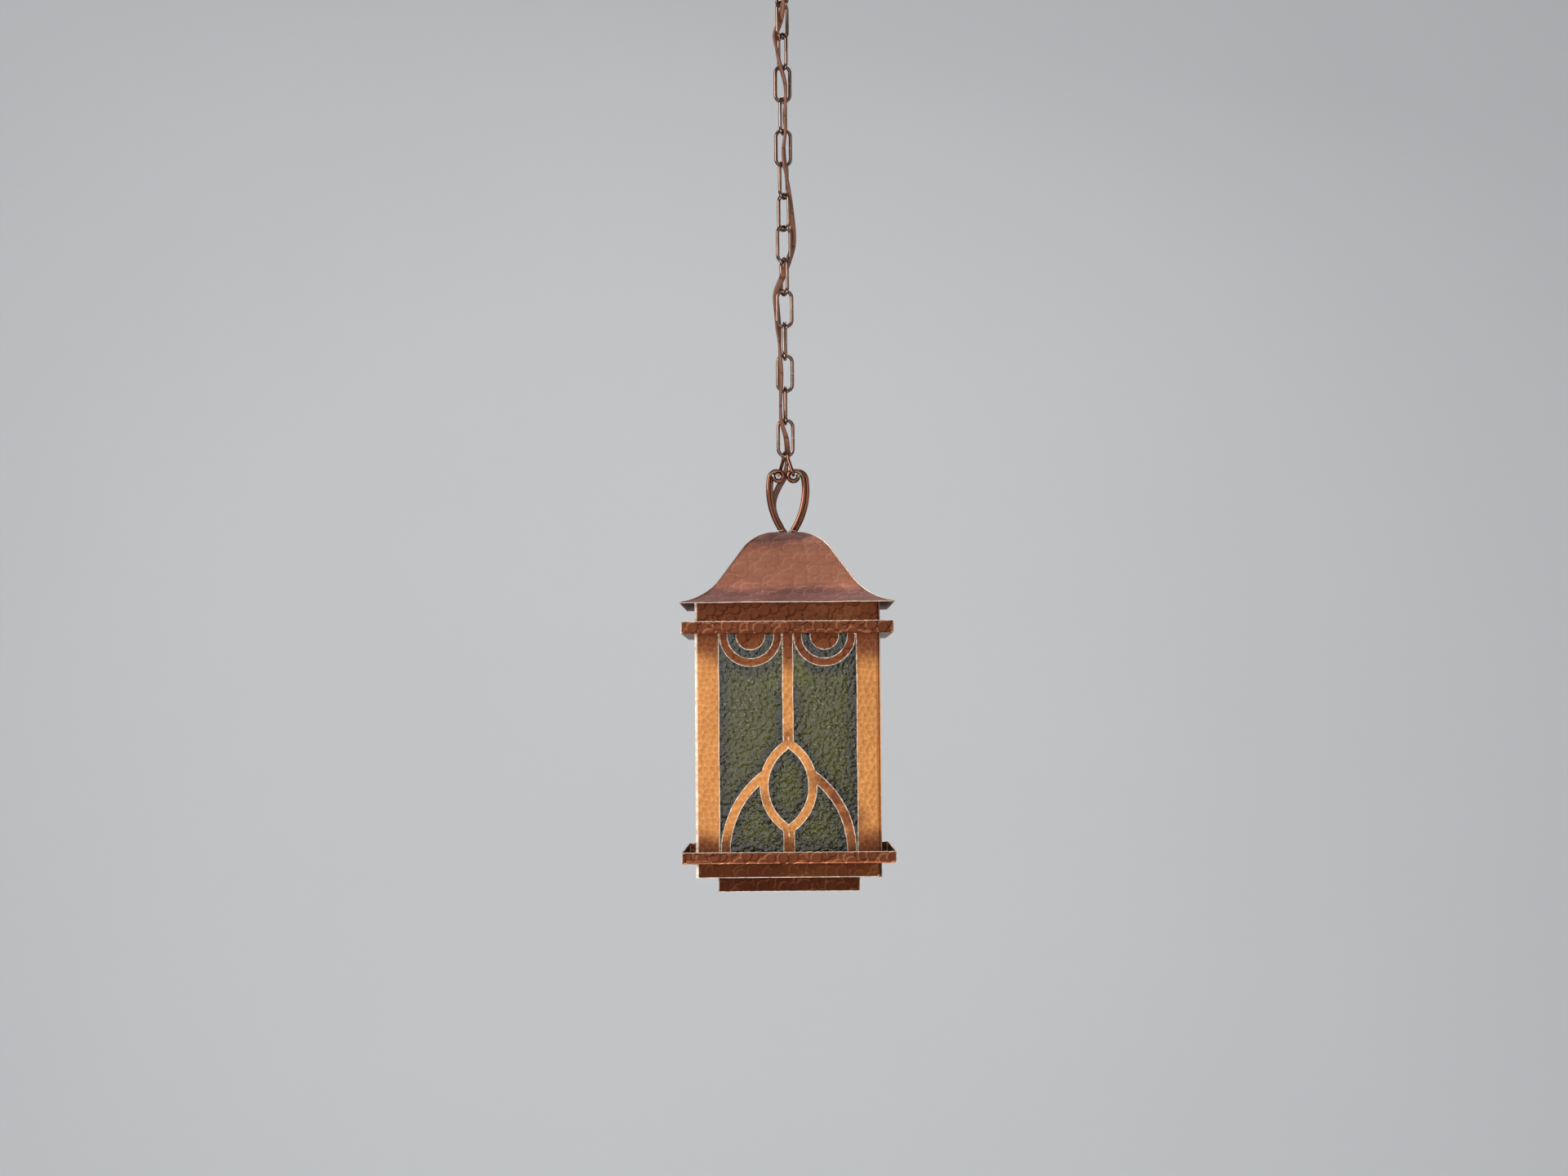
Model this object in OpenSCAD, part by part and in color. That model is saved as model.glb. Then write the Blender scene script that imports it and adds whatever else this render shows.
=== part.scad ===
// Hanging lantern of hammered copper with four panes of green glass, on an oval-link
// chain below a ceiling canopy. Millimetres. The origin is the middle of the ceiling
// plane, +Z points up and the lantern's front faces -Y.

/* [Canopy] */
// Outside diameter of the canopy's rim
canopy_d = 120; // [90:1:160]
// Depth of the canopy below the ceiling
canopy_h = 24; // [18:0.5:40]
// Radius of the canopy's rounded shoulder
canopy_shoulder_r = 14; // [6:1:16]
// Outside diameter of the threaded nipple through the canopy
nipple_d = 10; // [8:0.5:13]
// Bore of the nipples, which the cord runs through
nipple_bore = 7; // [6:0.1:7]
// Length of the mounting strap inside the canopy
strap_l = 92; // [84:1:104]
// Width of the mounting strap
strap_w = 16; // [14:0.5:24]
// Thickness of the mounting strap
strap_t = 2.5; // [1.5:0.1:4]
// Distance between the two ceiling screw holes
strap_hole_gap = 70; // [60:1:78]
// Diameter of the ceiling screw holes
strap_hole_d = 5; // [4:0.1:6]
// Width across the flats of the nuts on the nipples
nut_af = 14; // [14:0.5:18]
// Height of the nuts on the nipples
nut_h = 4; // [3:0.1:6]

/* [Canopy loop] */
// Outside diameter of the loop's collar
loop_collar_d = 16; // [15:0.5:20]
// Height of the loop's collar
loop_collar_h = 14; // [12:0.5:20]
// Radius of the loop's ring, to the middle of its wire
loop_r = 10; // [9:0.1:11]
// Wire diameter of the loop's ring
loop_wire = 3.5; // [3:0.1:4]

/* [Chain] */
// Wire diameter of the chain
wire = 3; // [2.6:0.1:3.2]
// Distance from one link to the next
link_pitch = 27.6; // [26:0.2:30]
// Width of a link, to the middle of its wire
link_w = 12.4; // [12:0.1:13.2]
// Slot at the butt joint of a link
link_butt = 0.4; // [0.2:0.1:0.6]

/* [Connector] */
// Drop from the connector's top bend to its two hooks
connector_drop = 19.65; // [19:0.05:22]
// Radius of the connector's top bend, to the middle of its wire
connector_r = 4.6; // [4.4:0.1:5]
// How far the connector's legs stand out before the scroll eyes
hook_out = 10.5; // [10:0.1:11]
// How far each hook reaches through the scroll eyes
hook_in = 6; // [5.5:0.1:7]
// Radius of the connector's bends, to the middle of its wire
hook_bend_r = 2.4; // [2:0.1:2.6]

/* [Hanger] */
// Wire diameter of the two heart-shaped hanger wires
hanger_wire = 3.6; // [3:0.1:3.8]
// Height of the scroll eyes' middle above the crown
eye_h = 48.3; // [46:0.1:50]
// Distance of each scroll eye from the middle
eye_x = 6.34; // [6.2:0.01:6.6]
// Radius of a scroll eye, to the middle of its wire
eye_r = 4.2; // [4.1:0.05:4.3]
// Half width of the front heart, to the middle of its wire
heart_half_w = 15.2; // [15:0.1:15.8]
// Height of the heart's widest place above the crown
widest_h = 37; // [35:0.5:39]
// Distance of the front heart's wires from the middle where they leave the crown
heart_foot = 3.5; // [3.4:0.1:3.8]
// Sideways offset of the rear heart against the front one
heart_shift = 3; // [2.6:0.1:3.1]

/* [Roof] */
// Width of the square roof across its eaves
eave_w = 176.2; // [168:0.2:190]
// Height of the roof from eave to crown
roof_h = 61.5; // [58:0.5:66]
// Thickness of the copper sheet
sheet = 1; // [0.8:0.05:1.2]
// Radius of the convex curve below the crown
crown_r = 35.5; // [33:0.5:38]
// Half width of the flat crown
crown_flat = 7.5; // [7:0.1:9]
// Radius of the flared curve above the eave
eave_r = 50; // [46:0.5:54]
// Radius of the hole in the crown
crown_hole_r = 9.2; // [9:0.1:10]

/* [Body] */
// Width of the square body
body_w = 152; // [144:0.5:158]
// Height of the body's side panels
body_h = 228; // [222:1:240]
// Outside radius of the body's folded corners
fold_r = 2; // [1.5:0.1:2.5]
// Length of the soldering flange at each corner
flange_l = 8; // [6:0.5:8.5]
// Width of the lip folded in below each side panel
lip_w = 8; // [6:0.5:10]
// Height of the frieze above the upper band
frieze_h = 18.4; // [16:0.2:22]
// Height of the plinth below the lower band
plinth_h = 11.7; // [10:0.1:15]

/* [Bands] */
// How far the upper band stands out from the body
upper_band_out = 11; // [7:0.5:14]
// Height of the upper band
upper_band_h = 10.5; // [8:0.1:13]
// How far the lower band stands out from the body
lower_band_out = 11.5; // [7:0.5:14]
// Height of the lower band
lower_band_h = 9.8; // [8:0.1:13]

/* [Tracery] */
// Width of the pilaster at each side of the window
pilaster_w = 19.7; // [19:0.1:22]
// Width of the upright bar above the pointed oval
bar_w = 8.9; // [7:0.1:11]
// Width of the stem below the pointed oval
stem_w = 9.4; // [7:0.1:11]
// Distance of the hanging half rings from the middle
half_ring_x = 30.3; // [29.8:0.1:31]
// Outside radius of the half rings
half_ring_r = 25.6; // [24.5:0.1:26]
// Width of the half rings' band
half_ring_band = 6.9; // [5:0.1:8]
// Radius of the half discs inside the half rings
half_disc_r = 12.1; // [10:0.1:13]
// Radius of the two arcs that make the pointed oval
oval_arc_r = 37.2; // [36:0.1:39]
// Distance of each arc's centre from the middle
oval_arc_x = 20.9; // [20:0.1:22]
// Width of the pointed oval's band
oval_band = 7.2; // [6:0.1:8.5]
// Height of the oval's middle above the window's lower edge
oval_h = 55.2; // [53:0.1:58]
// Outside radius of the two springing arcs
spring_r = 81.1; // [79:0.1:83]
// Width of the springing arcs' band
spring_band = 7.8; // [6:0.1:9]

/* [Glass] */
// Thickness of the glass panes
glass_t = 3; // [2:0.1:4]
// How far a pane laps behind the pilasters at its sides
glass_lap = 5.7; // [4:0.1:6]
// Thickness of the small sheet tabs that hold the panes
tab_t = 0.6; // [0.4:0.05:0.8]
// Width of the tabs
tab_w = 9; // [6:0.5:12]

/* [Base] */
// Outside width of the lowest tier
skirt_w = 117; // [108:0.5:124]
// Depth of the lowest tier below the body
skirt_h = 12.5; // [9:0.5:16]
// Width of the flange that the lowest tier hangs by
skirt_flange = 6; // [4:0.5:8]

/* [Lamp socket] */
// Outside diameter of the socket's sleeve
sleeve_d = 30; // [29.6:0.1:33]
// Wall of the socket's sleeve
sleeve_wall = 0.9; // [0.6:0.05:1]
// Length of the socket's sleeve
sleeve_l = 42; // [40:0.5:50]
// Inside diameter of the screw shell for the lamp
shell_bore = 26.6; // [26.4:0.1:26.8]
// Wall of the screw shell
shell_wall = 0.5; // [0.4:0.05:0.6]
// Length of the screw shell
shell_l = 28; // [24:0.5:30]
// Drop from the eaves to the top of the socket's strap
socket_strap_drop = 4; // [3:0.5:8]
// Width of the socket's strap
socket_strap_w = 14; // [13:0.5:20]
// Thickness of the socket's strap
socket_strap_t = 1.5; // [1.2:0.1:2.5]

/* [Hidden] */
link_count = 15;
link_name = [for (k = [0 : link_count - 1]) str("chain_link_", k < 9 ? "0" : "", k + 1)];
side_name = ["front", "right", "back", "left"];
hanger_name = [
    for (row = ["front", "rear"], side = ["left", "right"]) str("hanger_wire_", row, "_", side)
];

$fn = 64;

// Running gap between a link's wire and the wire that it hangs on
run_gap = 0.3;
// Gap between pieces that are soldered or laid against each other
seat_gap = 0.1;
// Play of a part that slides into another
slip_gap = 0.2;
// Yaw of each link about the chain's line, from the top, as the chain has twisted
link_yaw = [-43, 47, -60, 0, 69, 0, 60, -47, 30, -66, 0, 85, 0, -88, 0];
loop_yaw = link_yaw[0] + 90;
connector_yaw = -63.4;

// Levels from the ceiling down
loop_top_z = -canopy_h - seat_gap;
loop_bottom_z = loop_top_z - loop_collar_h;
loop_centre_z = loop_bottom_z - loop_r * 0.78;
link_l = link_pitch + wire + run_gap;
first_link_z = loop_centre_z - loop_r + (loop_wire + wire) / 2 + run_gap - link_l / 2;
function link_z(k) = first_link_z - k * link_pitch;
last_link_z = link_z(link_count - 1);
connector_top_z = last_link_z - link_l / 2 + wire + run_gap;
hook_z = connector_top_z - connector_drop;
eye_z = hook_z - (eye_r - hanger_wire / 2 - wire / 2 - run_gap);
crown_z = eye_z - eye_h;
eave_z = crown_z - roof_h;

// The roof's profile, w out from the middle and h up from the eave
crown_arc = [crown_flat, roof_h - crown_r];
roof_slope = 54.7;
crown_arc_end = crown_arc + crown_r * [sin(roof_slope), cos(roof_slope)];
eave_arc_x = crown_arc_end[0] + eave_r * sin(roof_slope)
    + (crown_arc_end[1] - (eave_r - eave_r * cos(roof_slope))) / tan(roof_slope);
eave_arc = [eave_arc_x, eave_r];
function roof_under(w) = eave_arc[1] - sqrt(pow(eave_r + sheet, 2) - pow(eave_arc[0] - w, 2));

body_top_z = eave_z + roof_under(body_w / 2) - seat_gap;
body_bottom_z = body_top_z - body_h;
upper_band_z = body_top_z - frieze_h - upper_band_h;
lower_band_z = body_bottom_z + plinth_h;
window_top_z = upper_band_z + 2;
window_bottom_z = lower_band_z + lower_band_h - 2.5;
half_ring_z = upper_band_z - 1.2;
oval_z = window_bottom_z + oval_h;
spring_z = window_bottom_z + 1.8;

body_in = body_w / 2 - sheet;
window_w = body_w - 2 * pilaster_w;
glass_w = window_w + 2 * glass_lap;
glass_y = body_in - seat_gap;
glass_top_z = window_top_z + 5;
glass_bottom_z = window_bottom_z - 4;

socket_strap_z = eave_z - socket_strap_drop;
cap_top_z = socket_strap_z - socket_strap_t - nut_h - 3 * seat_gap - 4;
sleeve_top_z = cap_top_z - 14;
cap_wall = 1;
cap_in_d = sleeve_d + 2 * slip_gap;
shell_d = shell_bore + 2 * shell_wall;
shell_bottom_z = sleeve_top_z - sleeve_l + 4;
socket_base_z = shell_bottom_z + shell_l + seat_gap;
socket_base_h = 10;
contact_d = 8;

// The hanger wires' tails below the crown: bend radius and reach
tail_r = 4;
tail_end = 11.5;

// Points of the cord's middle line: x, y, z and the turn of its wide side
cord_route = [
    [0, 0, -1, 45], [0, 0, -20, 45], [0, 0, -38, 45], [6.5, 1, -54, 45],
    [1, -1.5, -68, 60], [1, -6, -81.5, 120], [-1.5, -1.5, -95.5, 165], [-6, -0.5, -109, 225],
    [-4.5, -3, -123, 270], [-1.5, -5, -137, 285], [2, -4, -150.5, 285], [2.5, -4.5, -164.5, 270],
    [1.5, -4, -178, 285], [2, -5, -192, 270], [0.5, -4.5, -206, 255], [1, -5, -219.5, 240],
    [3, -2.5, -233.5, 285], [5, -0.5, -247, 300], [6.5, 1, -261, 315], [8, 4.5, -275, 315],
    [7.5, 7, -288.5, 345], [3.5, 5.5, -302.5, 375], [-1.5, 1.5, -316, 360], [-7, 3.5, -330, 360],
    [-6.5, 4.5, -344, 360], [-5.5, 3.5, -357.5, 375], [-4.5, -0.5, -371.5, 435], [-4, -5, -385, 465],
    [-3, -5.5, -399, 465], [-3.5, -5, -413, 465], [-4, -4, -426.5, 450], [-3.5, -5, -440.5, 465],
    [0.5, 1, -454, 495], [1.5, 5.5, -468, 495], [0.5, 6, -477, 465], [-1, 6.5, -486, 525],
    [-6, 6.5, -495, 540], [-10, 6.5, -504, 540], [-11, 6.5, -513, 540], [-8.5, 6.5, -522, 540],
    [-4, 6, -531, 540], [-1, 6, -541, 540], [-0.5, 2, -560, 540], [0, 0, -580, 540],
    [0, 0, -620, 540]
];

copper = [0.72, 0.42, 0.28];
dark_copper = [0.45, 0.25, 0.17];
patina_copper = [0.55, 0.34, 0.27];
glass_green = [0.35, 0.42, 0.26, 0.6];

function unit(v) = v / norm(v);
function lerp(a, b, t) = a + (b - a) * t;

// Points along an arc about centre, from one angle to another, in steps
function arc_points(centre, r, from, to, steps) = [
    for (i = [0 : steps]) let (a = lerp(from, to, i / steps)) centre + r * [cos(a), sin(a)]
];

// Points round the bend of radius r at corner b, on the way from a to c
function bend_points(a, b, c, r, steps) =
    let (
        ahead = unit(b - a),
        turn = acos(ahead * unit(c - b)),
        inward = unit(unit(c - b) - cos(turn) * ahead),
        centre = b - r * tan(turn / 2) * ahead + r * inward
    )
    [for (i = [0 : steps]) centre - r * cos(turn * i / steps) * inward
        + r * sin(turn * i / steps) * ahead];

// Bar of the given section swept through points p. The section's x axis stays as near to
// the direction across as the path allows, and turn[i] twists it at point i
module sweep(p, section, across, turn) {
    last = len(p) - 1;
    sides = len(section);
    rings = [for (i = [0 : last]) let (
        along = unit(p[min(i + 1, last)] - p[max(i - 1, 0)]),
        x_axis = unit(across - (across * along) * along),
        y_axis = cross(along, x_axis),
        a = turn == undef ? 0 : turn[i]
    ) for (q = section) p[i]
        + (q[0] * cos(a) - q[1] * sin(a)) * x_axis
        + (q[0] * sin(a) + q[1] * cos(a)) * y_axis];
    polyhedron(rings, concat(
        [[for (j = [0 : sides - 1]) j]],
        [for (i = [0 : last - 1], j = [0 : sides - 1]) [
            i * sides + j, (i + 1) * sides + j,
            (i + 1) * sides + (j + 1) % sides, i * sides + (j + 1) % sides
        ]],
        [[for (j = [sides - 1 : -1 : 0]) last * sides + j]]
    ), convexity = 10);
}

function round_section(d, sides) = arc_points([0, 0], d / 2, 0, 360 - 360 / sides, sides - 1);

// An arc of round wire in the X-Z plane, about a centre [x, z], from one angle to another
module wire_arc(centre, r, from, to, d) {
    translate([centre[0], 0, centre[1]])
        rotate([90, 0, 0])
            rotate([0, 0, from])
                rotate_extrude(angle = to - from) translate([r, 0]) circle(d = d);
}

module hex_nut(z) {
    translate([0, 0, z]) difference() {
        cylinder(d = nut_af / cos(30), h = nut_h, $fn = 6);
        translate([0, 0, -1]) cylinder(d = nipple_d + slip_gap, h = nut_h + 2);
    }
}

module hollow_nipple(z_from, z_to) {
    translate([0, 0, z_from]) difference() {
        cylinder(d = nipple_d, h = z_to - z_from);
        translate([0, 0, -1]) cylinder(d = nipple_bore, h = z_to - z_from + 2);
    }
}

module canopy_outline(inset) {
    r = canopy_d / 2 - inset;
    bottom = -canopy_h + inset;
    corner = canopy_shoulder_r - inset;
    difference() {
        translate([0, bottom]) square([r, -bottom + inset]);
        difference() {
            translate([r - corner, bottom - 1]) square([corner + 1, corner + 1]);
            translate([r - corner, bottom + corner]) circle(r = corner);
        }
    }
}

module canopy() {
    color(patina_copper) rotate_extrude() difference() {
        intersection() {
            canopy_outline(0);
            translate([0, -canopy_h - 1]) square([canopy_d, canopy_h + 1]);
        }
        canopy_outline(sheet);
        translate([0, -canopy_h - 1]) square([(nipple_d + slip_gap) / 2, canopy_h]);
    }
}

module mounting_strap() {
    color("silver") difference() {
        translate([-strap_l / 2, -strap_w / 2, -strap_t]) cube([strap_l, strap_w, strap_t]);
        translate([0, 0, -strap_t - 1]) cylinder(d = nipple_d + slip_gap, h = strap_t + 2);
        for (side = [-1, 1])
            translate([side * strap_hole_gap / 2, 0, -strap_t - 1])
                cylinder(d = strap_hole_d, h = strap_t + 2);
    }
}

module canopy_nipple() {
    color("gold") hollow_nipple(loop_top_z - loop_collar_h / 2, -seat_gap);
}

module canopy_nut() {
    color("gold") hex_nut(-strap_t - seat_gap - nut_h);
}

// The collar screws onto the nipple. The ring below it is open at the top for the cord
module canopy_loop() {
    ring_from = 90 + acos(0.78);
    color(dark_copper) difference() {
        union() {
            translate([0, 0, loop_bottom_z]) cylinder(d = loop_collar_d, h = loop_collar_h);
            rotate([0, 0, loop_yaw])
                wire_arc([0, loop_centre_z], loop_r, ring_from, 450 - acos(0.78), loop_wire);
        }
        translate([0, 0, loop_bottom_z - 1]) cylinder(d = nipple_bore, h = loop_collar_h + 2);
        translate([0, 0, loop_top_z - loop_collar_h / 2 - seat_gap])
            cylinder(d = nipple_d + slip_gap, h = loop_collar_h);
    }
}

// One oval link of round wire, with the slot of its butt joint in one leg
module chain_link(k) {
    r = link_w / 2;
    straight = link_l - link_w;
    color(dark_copper) translate([0, 0, link_z(k)]) rotate([0, 0, link_yaw[k]]) difference() {
        union() {
            wire_arc([0, straight / 2], r, 0, 180, wire);
            wire_arc([0, -straight / 2], r, 180, 360, wire);
            for (side = [-1, 1])
                translate([side * r, 0, -straight / 2]) cylinder(d = wire, h = straight);
        }
        translate([r - wire, -wire, -link_butt / 2]) cube([2 * wire, 2 * wire, link_butt]);
    }
}

// An opened link: a bend over the last chain link, two splayed legs and two hooks that
// pass through the scroll eyes, one from the front and one from the back
module connector() {
    bend_z = connector_top_z - connector_r;
    bend_end = connector_r * [cos(connector_yaw), sin(connector_yaw)];
    leg = [
        [bend_end[0], bend_end[1], bend_z],
        [bend_end[0], bend_end[1], bend_z - 1.6],
        [eye_x, -hook_out, hook_z],
        [eye_x, hook_in, hook_z]
    ];
    half = concat(
        [for (q = arc_points([0, bend_z], connector_r, 90, 0, 8))
            [q[0] * cos(connector_yaw), q[0] * sin(connector_yaw), q[1]]],
        [leg[1]],
        bend_points(leg[1], leg[2], leg[3], hook_bend_r, 8),
        [leg[3]]
    );
    other_half = [for (i = [len(half) - 1 : -1 : 1]) [-half[i][0], -half[i][1], half[i][2]]];
    color(dark_copper) sweep(
        concat(other_half, half), round_section(wire, 12),
        [-sin(connector_yaw), cos(connector_yaw), 0]
    );
}

// One wire of a heart: a long arc up from the foot, a lobe and a scroll eye, each tangent
// to the last, and a tail turned out below the crown
module heart_wire(foot, widest, lobe_r, curl) {
    side_r = (pow(widest - foot, 2) + pow(widest_h, 2)) / (2 * (widest - foot));
    side = [widest - side_r, widest_h];
    eye = [eye_x, eye_h];
    reach = norm(eye - side);
    along = (pow(side_r - lobe_r, 2) - pow(lobe_r - eye_r, 2) + reach * reach) / (2 * reach);
    across = sqrt(pow(side_r - lobe_r, 2) - along * along);
    u = unit(eye - side);
    lobe = side + along * u + across * [u[1], -u[0]];
    foot_turn = atan2(-widest_h, foot - side[0]);
    lobe_turn = atan2(lobe[1] - side[1], lobe[0] - side[0]);
    eye_turn = atan2(eye[1] - lobe[1], eye[0] - lobe[0]);
    tail = [foot, 0] + tail_r * [cos(foot_turn), sin(foot_turn)];
    path = concat(
        [[tail_end, tail[1] - tail_r]],
        arc_points(tail, tail_r, 270, foot_turn + 180, 6),
        arc_points(side, side_r, foot_turn, lobe_turn, 9),
        arc_points(lobe, lobe_r, lobe_turn, eye_turn, 10),
        arc_points(eye, eye_r, eye_turn, eye_turn + curl, 14)
    );
    sweep(
        [for (i = [0 : len(path) - 1]) if (i == 0 || norm(path[i] - path[i - 1]) > 0.01)
            [path[i][0], 0, path[i][1]]],
        round_section(hanger_wire, 12), [0, 1, 0]
    );
}

// side is 1 for the right-hand wire of a heart and -1 for the left-hand one
module hanger_wire(rear, side) {
    shift = rear ? side * heart_shift : 0;
    widest = heart_half_w + shift * (shift < 0 ? 0.8 : 1);
    lobe_r = (widest - eye_x + eye_r) / 2 + 0.8;
    color(dark_copper)
        translate([0, (rear ? 1 : -1) * (hanger_wire / 2 + run_gap), crown_z])
            mirror([side < 0 ? 1 : 0, 0, 0])
                heart_wire(heart_foot + shift, widest, lobe_r, shift < 0 ? 185 : 265);
}

// Washer under the crown, which the hanger wires' tails are turned out below
module crown_washer() {
    top = crown_z - sheet - 0.5;
    color("gold") translate([0, 0, top - 2.9]) difference() {
        cylinder(r = 13, h = 2.9);
        translate([0, 0, -1]) cylinder(r = crown_hole_r, h = 5);
    }
}

// Section through one side of the roof: flat crown, convex curve, slope and flared curve
module roof_section() {
    low_turn = 270 - roof_slope;
    outer_end = 270 - asin((eave_arc[0] - eave_w / 2) / eave_r);
    inner_end = 270 - asin((eave_arc[0] - eave_w / 2) / (eave_r + sheet));
    polygon(concat(
        [[0, roof_h]],
        arc_points(crown_arc, crown_r, 90, 90 - roof_slope, 12),
        arc_points(eave_arc, eave_r, low_turn, outer_end, 14),
        arc_points(eave_arc, eave_r + sheet, inner_end, low_turn, 14),
        arc_points(crown_arc, crown_r - sheet, 90 - roof_slope, 90, 12),
        [[0, roof_h - sheet]]
    ));
}

// One gore of the roof, mitred at the hips
module roof_panel(i) {
    half = eave_w / 2;
    mitre = seat_gap / 2;
    color(patina_copper) translate([0, 0, eave_z]) rotate([0, 0, 90 * i]) difference() {
        intersection() {
            rotate([90, 0, -90]) translate([0, 0, -half]) linear_extrude(eave_w)
                roof_section();
            translate([0, 0, -2]) linear_extrude(roof_h + 4)
                polygon([[0, -mitre], [half - mitre, -half], [mitre - half, -half]]);
        }
        translate([0, 0, -3]) cylinder(r = crown_hole_r, h = roof_h + 6);
    }
}

// The window's tracery in the panel's own plane, x across and y up
module tracery() {
    inner = oval_arc_r;
    outer = oval_arc_r + oval_band;
    tip = oval_z + sqrt(inner * inner - oval_arc_x * oval_arc_x);
    foot = oval_z - sqrt(inner * inner - oval_arc_x * oval_arc_x);
    band_x = oval_arc_x - oval_arc_r - oval_band / 2;
    translate([-bar_w / 2, tip + 1]) square([bar_w, window_top_z - tip]);
    translate([-stem_w / 2, window_bottom_z - 1]) square([stem_w, foot - window_bottom_z]);
    difference() {
        intersection_for (side = [-1, 1]) translate([side * oval_arc_x, oval_z]) circle(r = outer);
        intersection_for (side = [-1, 1]) translate([side * oval_arc_x, oval_z]) circle(r = inner);
    }
    for (side = [-1, 1]) {
        translate([side * half_ring_x, half_ring_z]) {
            circle(r = half_disc_r);
            difference() {
                circle(r = half_ring_r);
                circle(r = half_ring_r - half_ring_band);
            }
        }
        intersection() {
            translate([-side * (spring_r - window_w / 2 + 0.8), spring_z]) difference() {
                circle(r = spring_r);
                circle(r = spring_r - spring_band);
            }
            translate([side > 0 ? -band_x : -window_w / 2 - 1, window_bottom_z - 1])
                square([window_w / 2 + 1 + band_x, spring_r]);
        }
    }
}

module window() {
    difference() {
        translate([-window_w / 2, window_bottom_z])
            square([window_w, window_top_z - window_bottom_z]);
        tracery();
    }
}

// Plan of a side panel: the face, the folded corner and the flange behind the next panel
module panel_plan() {
    half = body_w / 2;
    corner = half - sheet - seat_gap;
    translate([-half, -half]) square([half + corner - fold_r, sheet]);
    intersection() {
        translate([corner - fold_r, -half + fold_r]) difference() {
            circle(r = fold_r);
            circle(r = fold_r - sheet);
        }
        translate([corner - fold_r, -half]) square([fold_r, fold_r]);
    }
    translate([corner - sheet, -half + fold_r]) square([sheet, flange_l]);
}

module side_panel(i) {
    half = body_w / 2;
    lip = half - sheet - seat_gap;
    color(copper) rotate([0, 0, 90 * i]) {
        difference() {
            translate([0, 0, body_bottom_z]) linear_extrude(body_h) panel_plan();
            rotate([90, 0, 0]) translate([0, 0, half - 2 * sheet])
                linear_extrude(3 * sheet) window();
            translate([half - 3 * sheet, -half + fold_r + seat_gap, body_bottom_z - 1])
                cube([4 * sheet, flange_l + 1, sheet + seat_gap + 1]);
            translate([half - flange_l, -half + sheet, body_bottom_z - 1])
                cube([flange_l, fold_r, sheet + seat_gap + 1]);
        }
        translate([0, 0, body_bottom_z]) linear_extrude(sheet) polygon([
            [-lip + sheet, -lip - sheet / 2], [lip - sheet, -lip - sheet / 2],
            [lip - sheet, -lip + sheet], [lip - lip_w, -lip + lip_w],
            [-lip + lip_w, -lip + lip_w], [-lip + sheet, -lip + sheet]
        ]);
    }
}

module glass(i) {
    color(glass_green) rotate([0, 0, 90 * i])
        translate([-glass_w / 2, -glass_y, glass_bottom_z])
            cube([glass_w, glass_t, glass_top_z - glass_bottom_z]);
}

// Bent tabs soldered to the panels, four to a pane, which lap over the glass
module glass_tabs() {
    edge = glass_w / 2 + slip_gap;
    back = glass_t + seat_gap + slip_gap;
    lap = 5;
    foot = body_w / 2 - fold_r - flange_l - edge - slip_gap;
    rise = (glass_top_z - glass_bottom_z) * 0.3;
    mid_z = (glass_top_z + glass_bottom_z) / 2;
    color(dark_copper) for (i = [0 : 3], side = [0, 1], up = [-1, 1])
        rotate([0, 0, 90 * i]) mirror([side, 0, 0])
            translate([edge, -body_in + seat_gap / 2, mid_z + up * rise - tab_w / 2])
                linear_extrude(tab_w) {
                    square([foot, tab_t]);
                    square([tab_t, back + tab_t]);
                    translate([-lap, back]) square([lap + tab_t, tab_t]);
                }
}

// A square hoop of angle section: an upright strip with a flange in to the body below it
module band(out, h, z) {
    half = body_w / 2 + out;
    inner = body_w / 2 + seat_gap;
    color(dark_copper) translate([0, 0, z]) difference() {
        translate([-half, -half, 0]) cube([2 * half, 2 * half, h]);
        translate([sheet - half, sheet - half, sheet])
            cube([2 * (half - sheet), 2 * (half - sheet), h]);
        translate([-inner, -inner, -1]) cube([2 * inner, 2 * inner, h]);
    }
}

module upper_band() { band(upper_band_out, upper_band_h, upper_band_z); }
module lower_band() { band(lower_band_out, lower_band_h, lower_band_z); }

// Square ring that rests on the panels' lips and carries the lowest tier
module base_plate() {
    half = body_w / 2 - 2 * sheet - 2 * slip_gap;
    opening = skirt_w / 2 + slip_gap;
    color(dark_copper) translate([0, 0, body_bottom_z + sheet + seat_gap]) difference() {
        translate([-half, -half, 0]) cube([2 * half, 2 * half, sheet]);
        translate([-opening, -opening, -1]) cube([2 * opening, 2 * opening, sheet + 2]);
    }
}

module base_skirt() {
    half = skirt_w / 2;
    top = body_bottom_z + 2 * sheet + 2 * seat_gap;
    bottom = body_bottom_z - skirt_h;
    color(dark_copper) {
        translate([0, 0, top]) linear_extrude(sheet) difference() {
            square(skirt_w + 2 * skirt_flange, center = true);
            square(skirt_w - 2 * sheet, center = true);
        }
        translate([0, 0, bottom]) linear_extrude(top - bottom) difference() {
            square(skirt_w, center = true);
            square(skirt_w - 2 * sheet, center = true);
        }
    }
}

// Strap across the body, soldered at its turned-down ends, which carries the lamp socket
module socket_strap() {
    half = body_in - seat_gap;
    end_h = 12;
    color("gold") difference() {
        union() {
            translate([-half, -socket_strap_w / 2, socket_strap_z - socket_strap_t])
                cube([2 * half, socket_strap_w, socket_strap_t]);
            for (side = [0, 1]) mirror([side, 0, 0])
                translate([half - socket_strap_t, -socket_strap_w / 2, socket_strap_z - end_h])
                    cube([socket_strap_t, socket_strap_w, end_h]);
        }
        translate([0, 0, socket_strap_z - end_h])
            cylinder(d = nipple_d + slip_gap, h = 2 * end_h);
    }
}

module socket_nipple() {
    color("gold") hollow_nipple(cap_top_z - 5, socket_strap_z + nut_h + 3);
}

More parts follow.
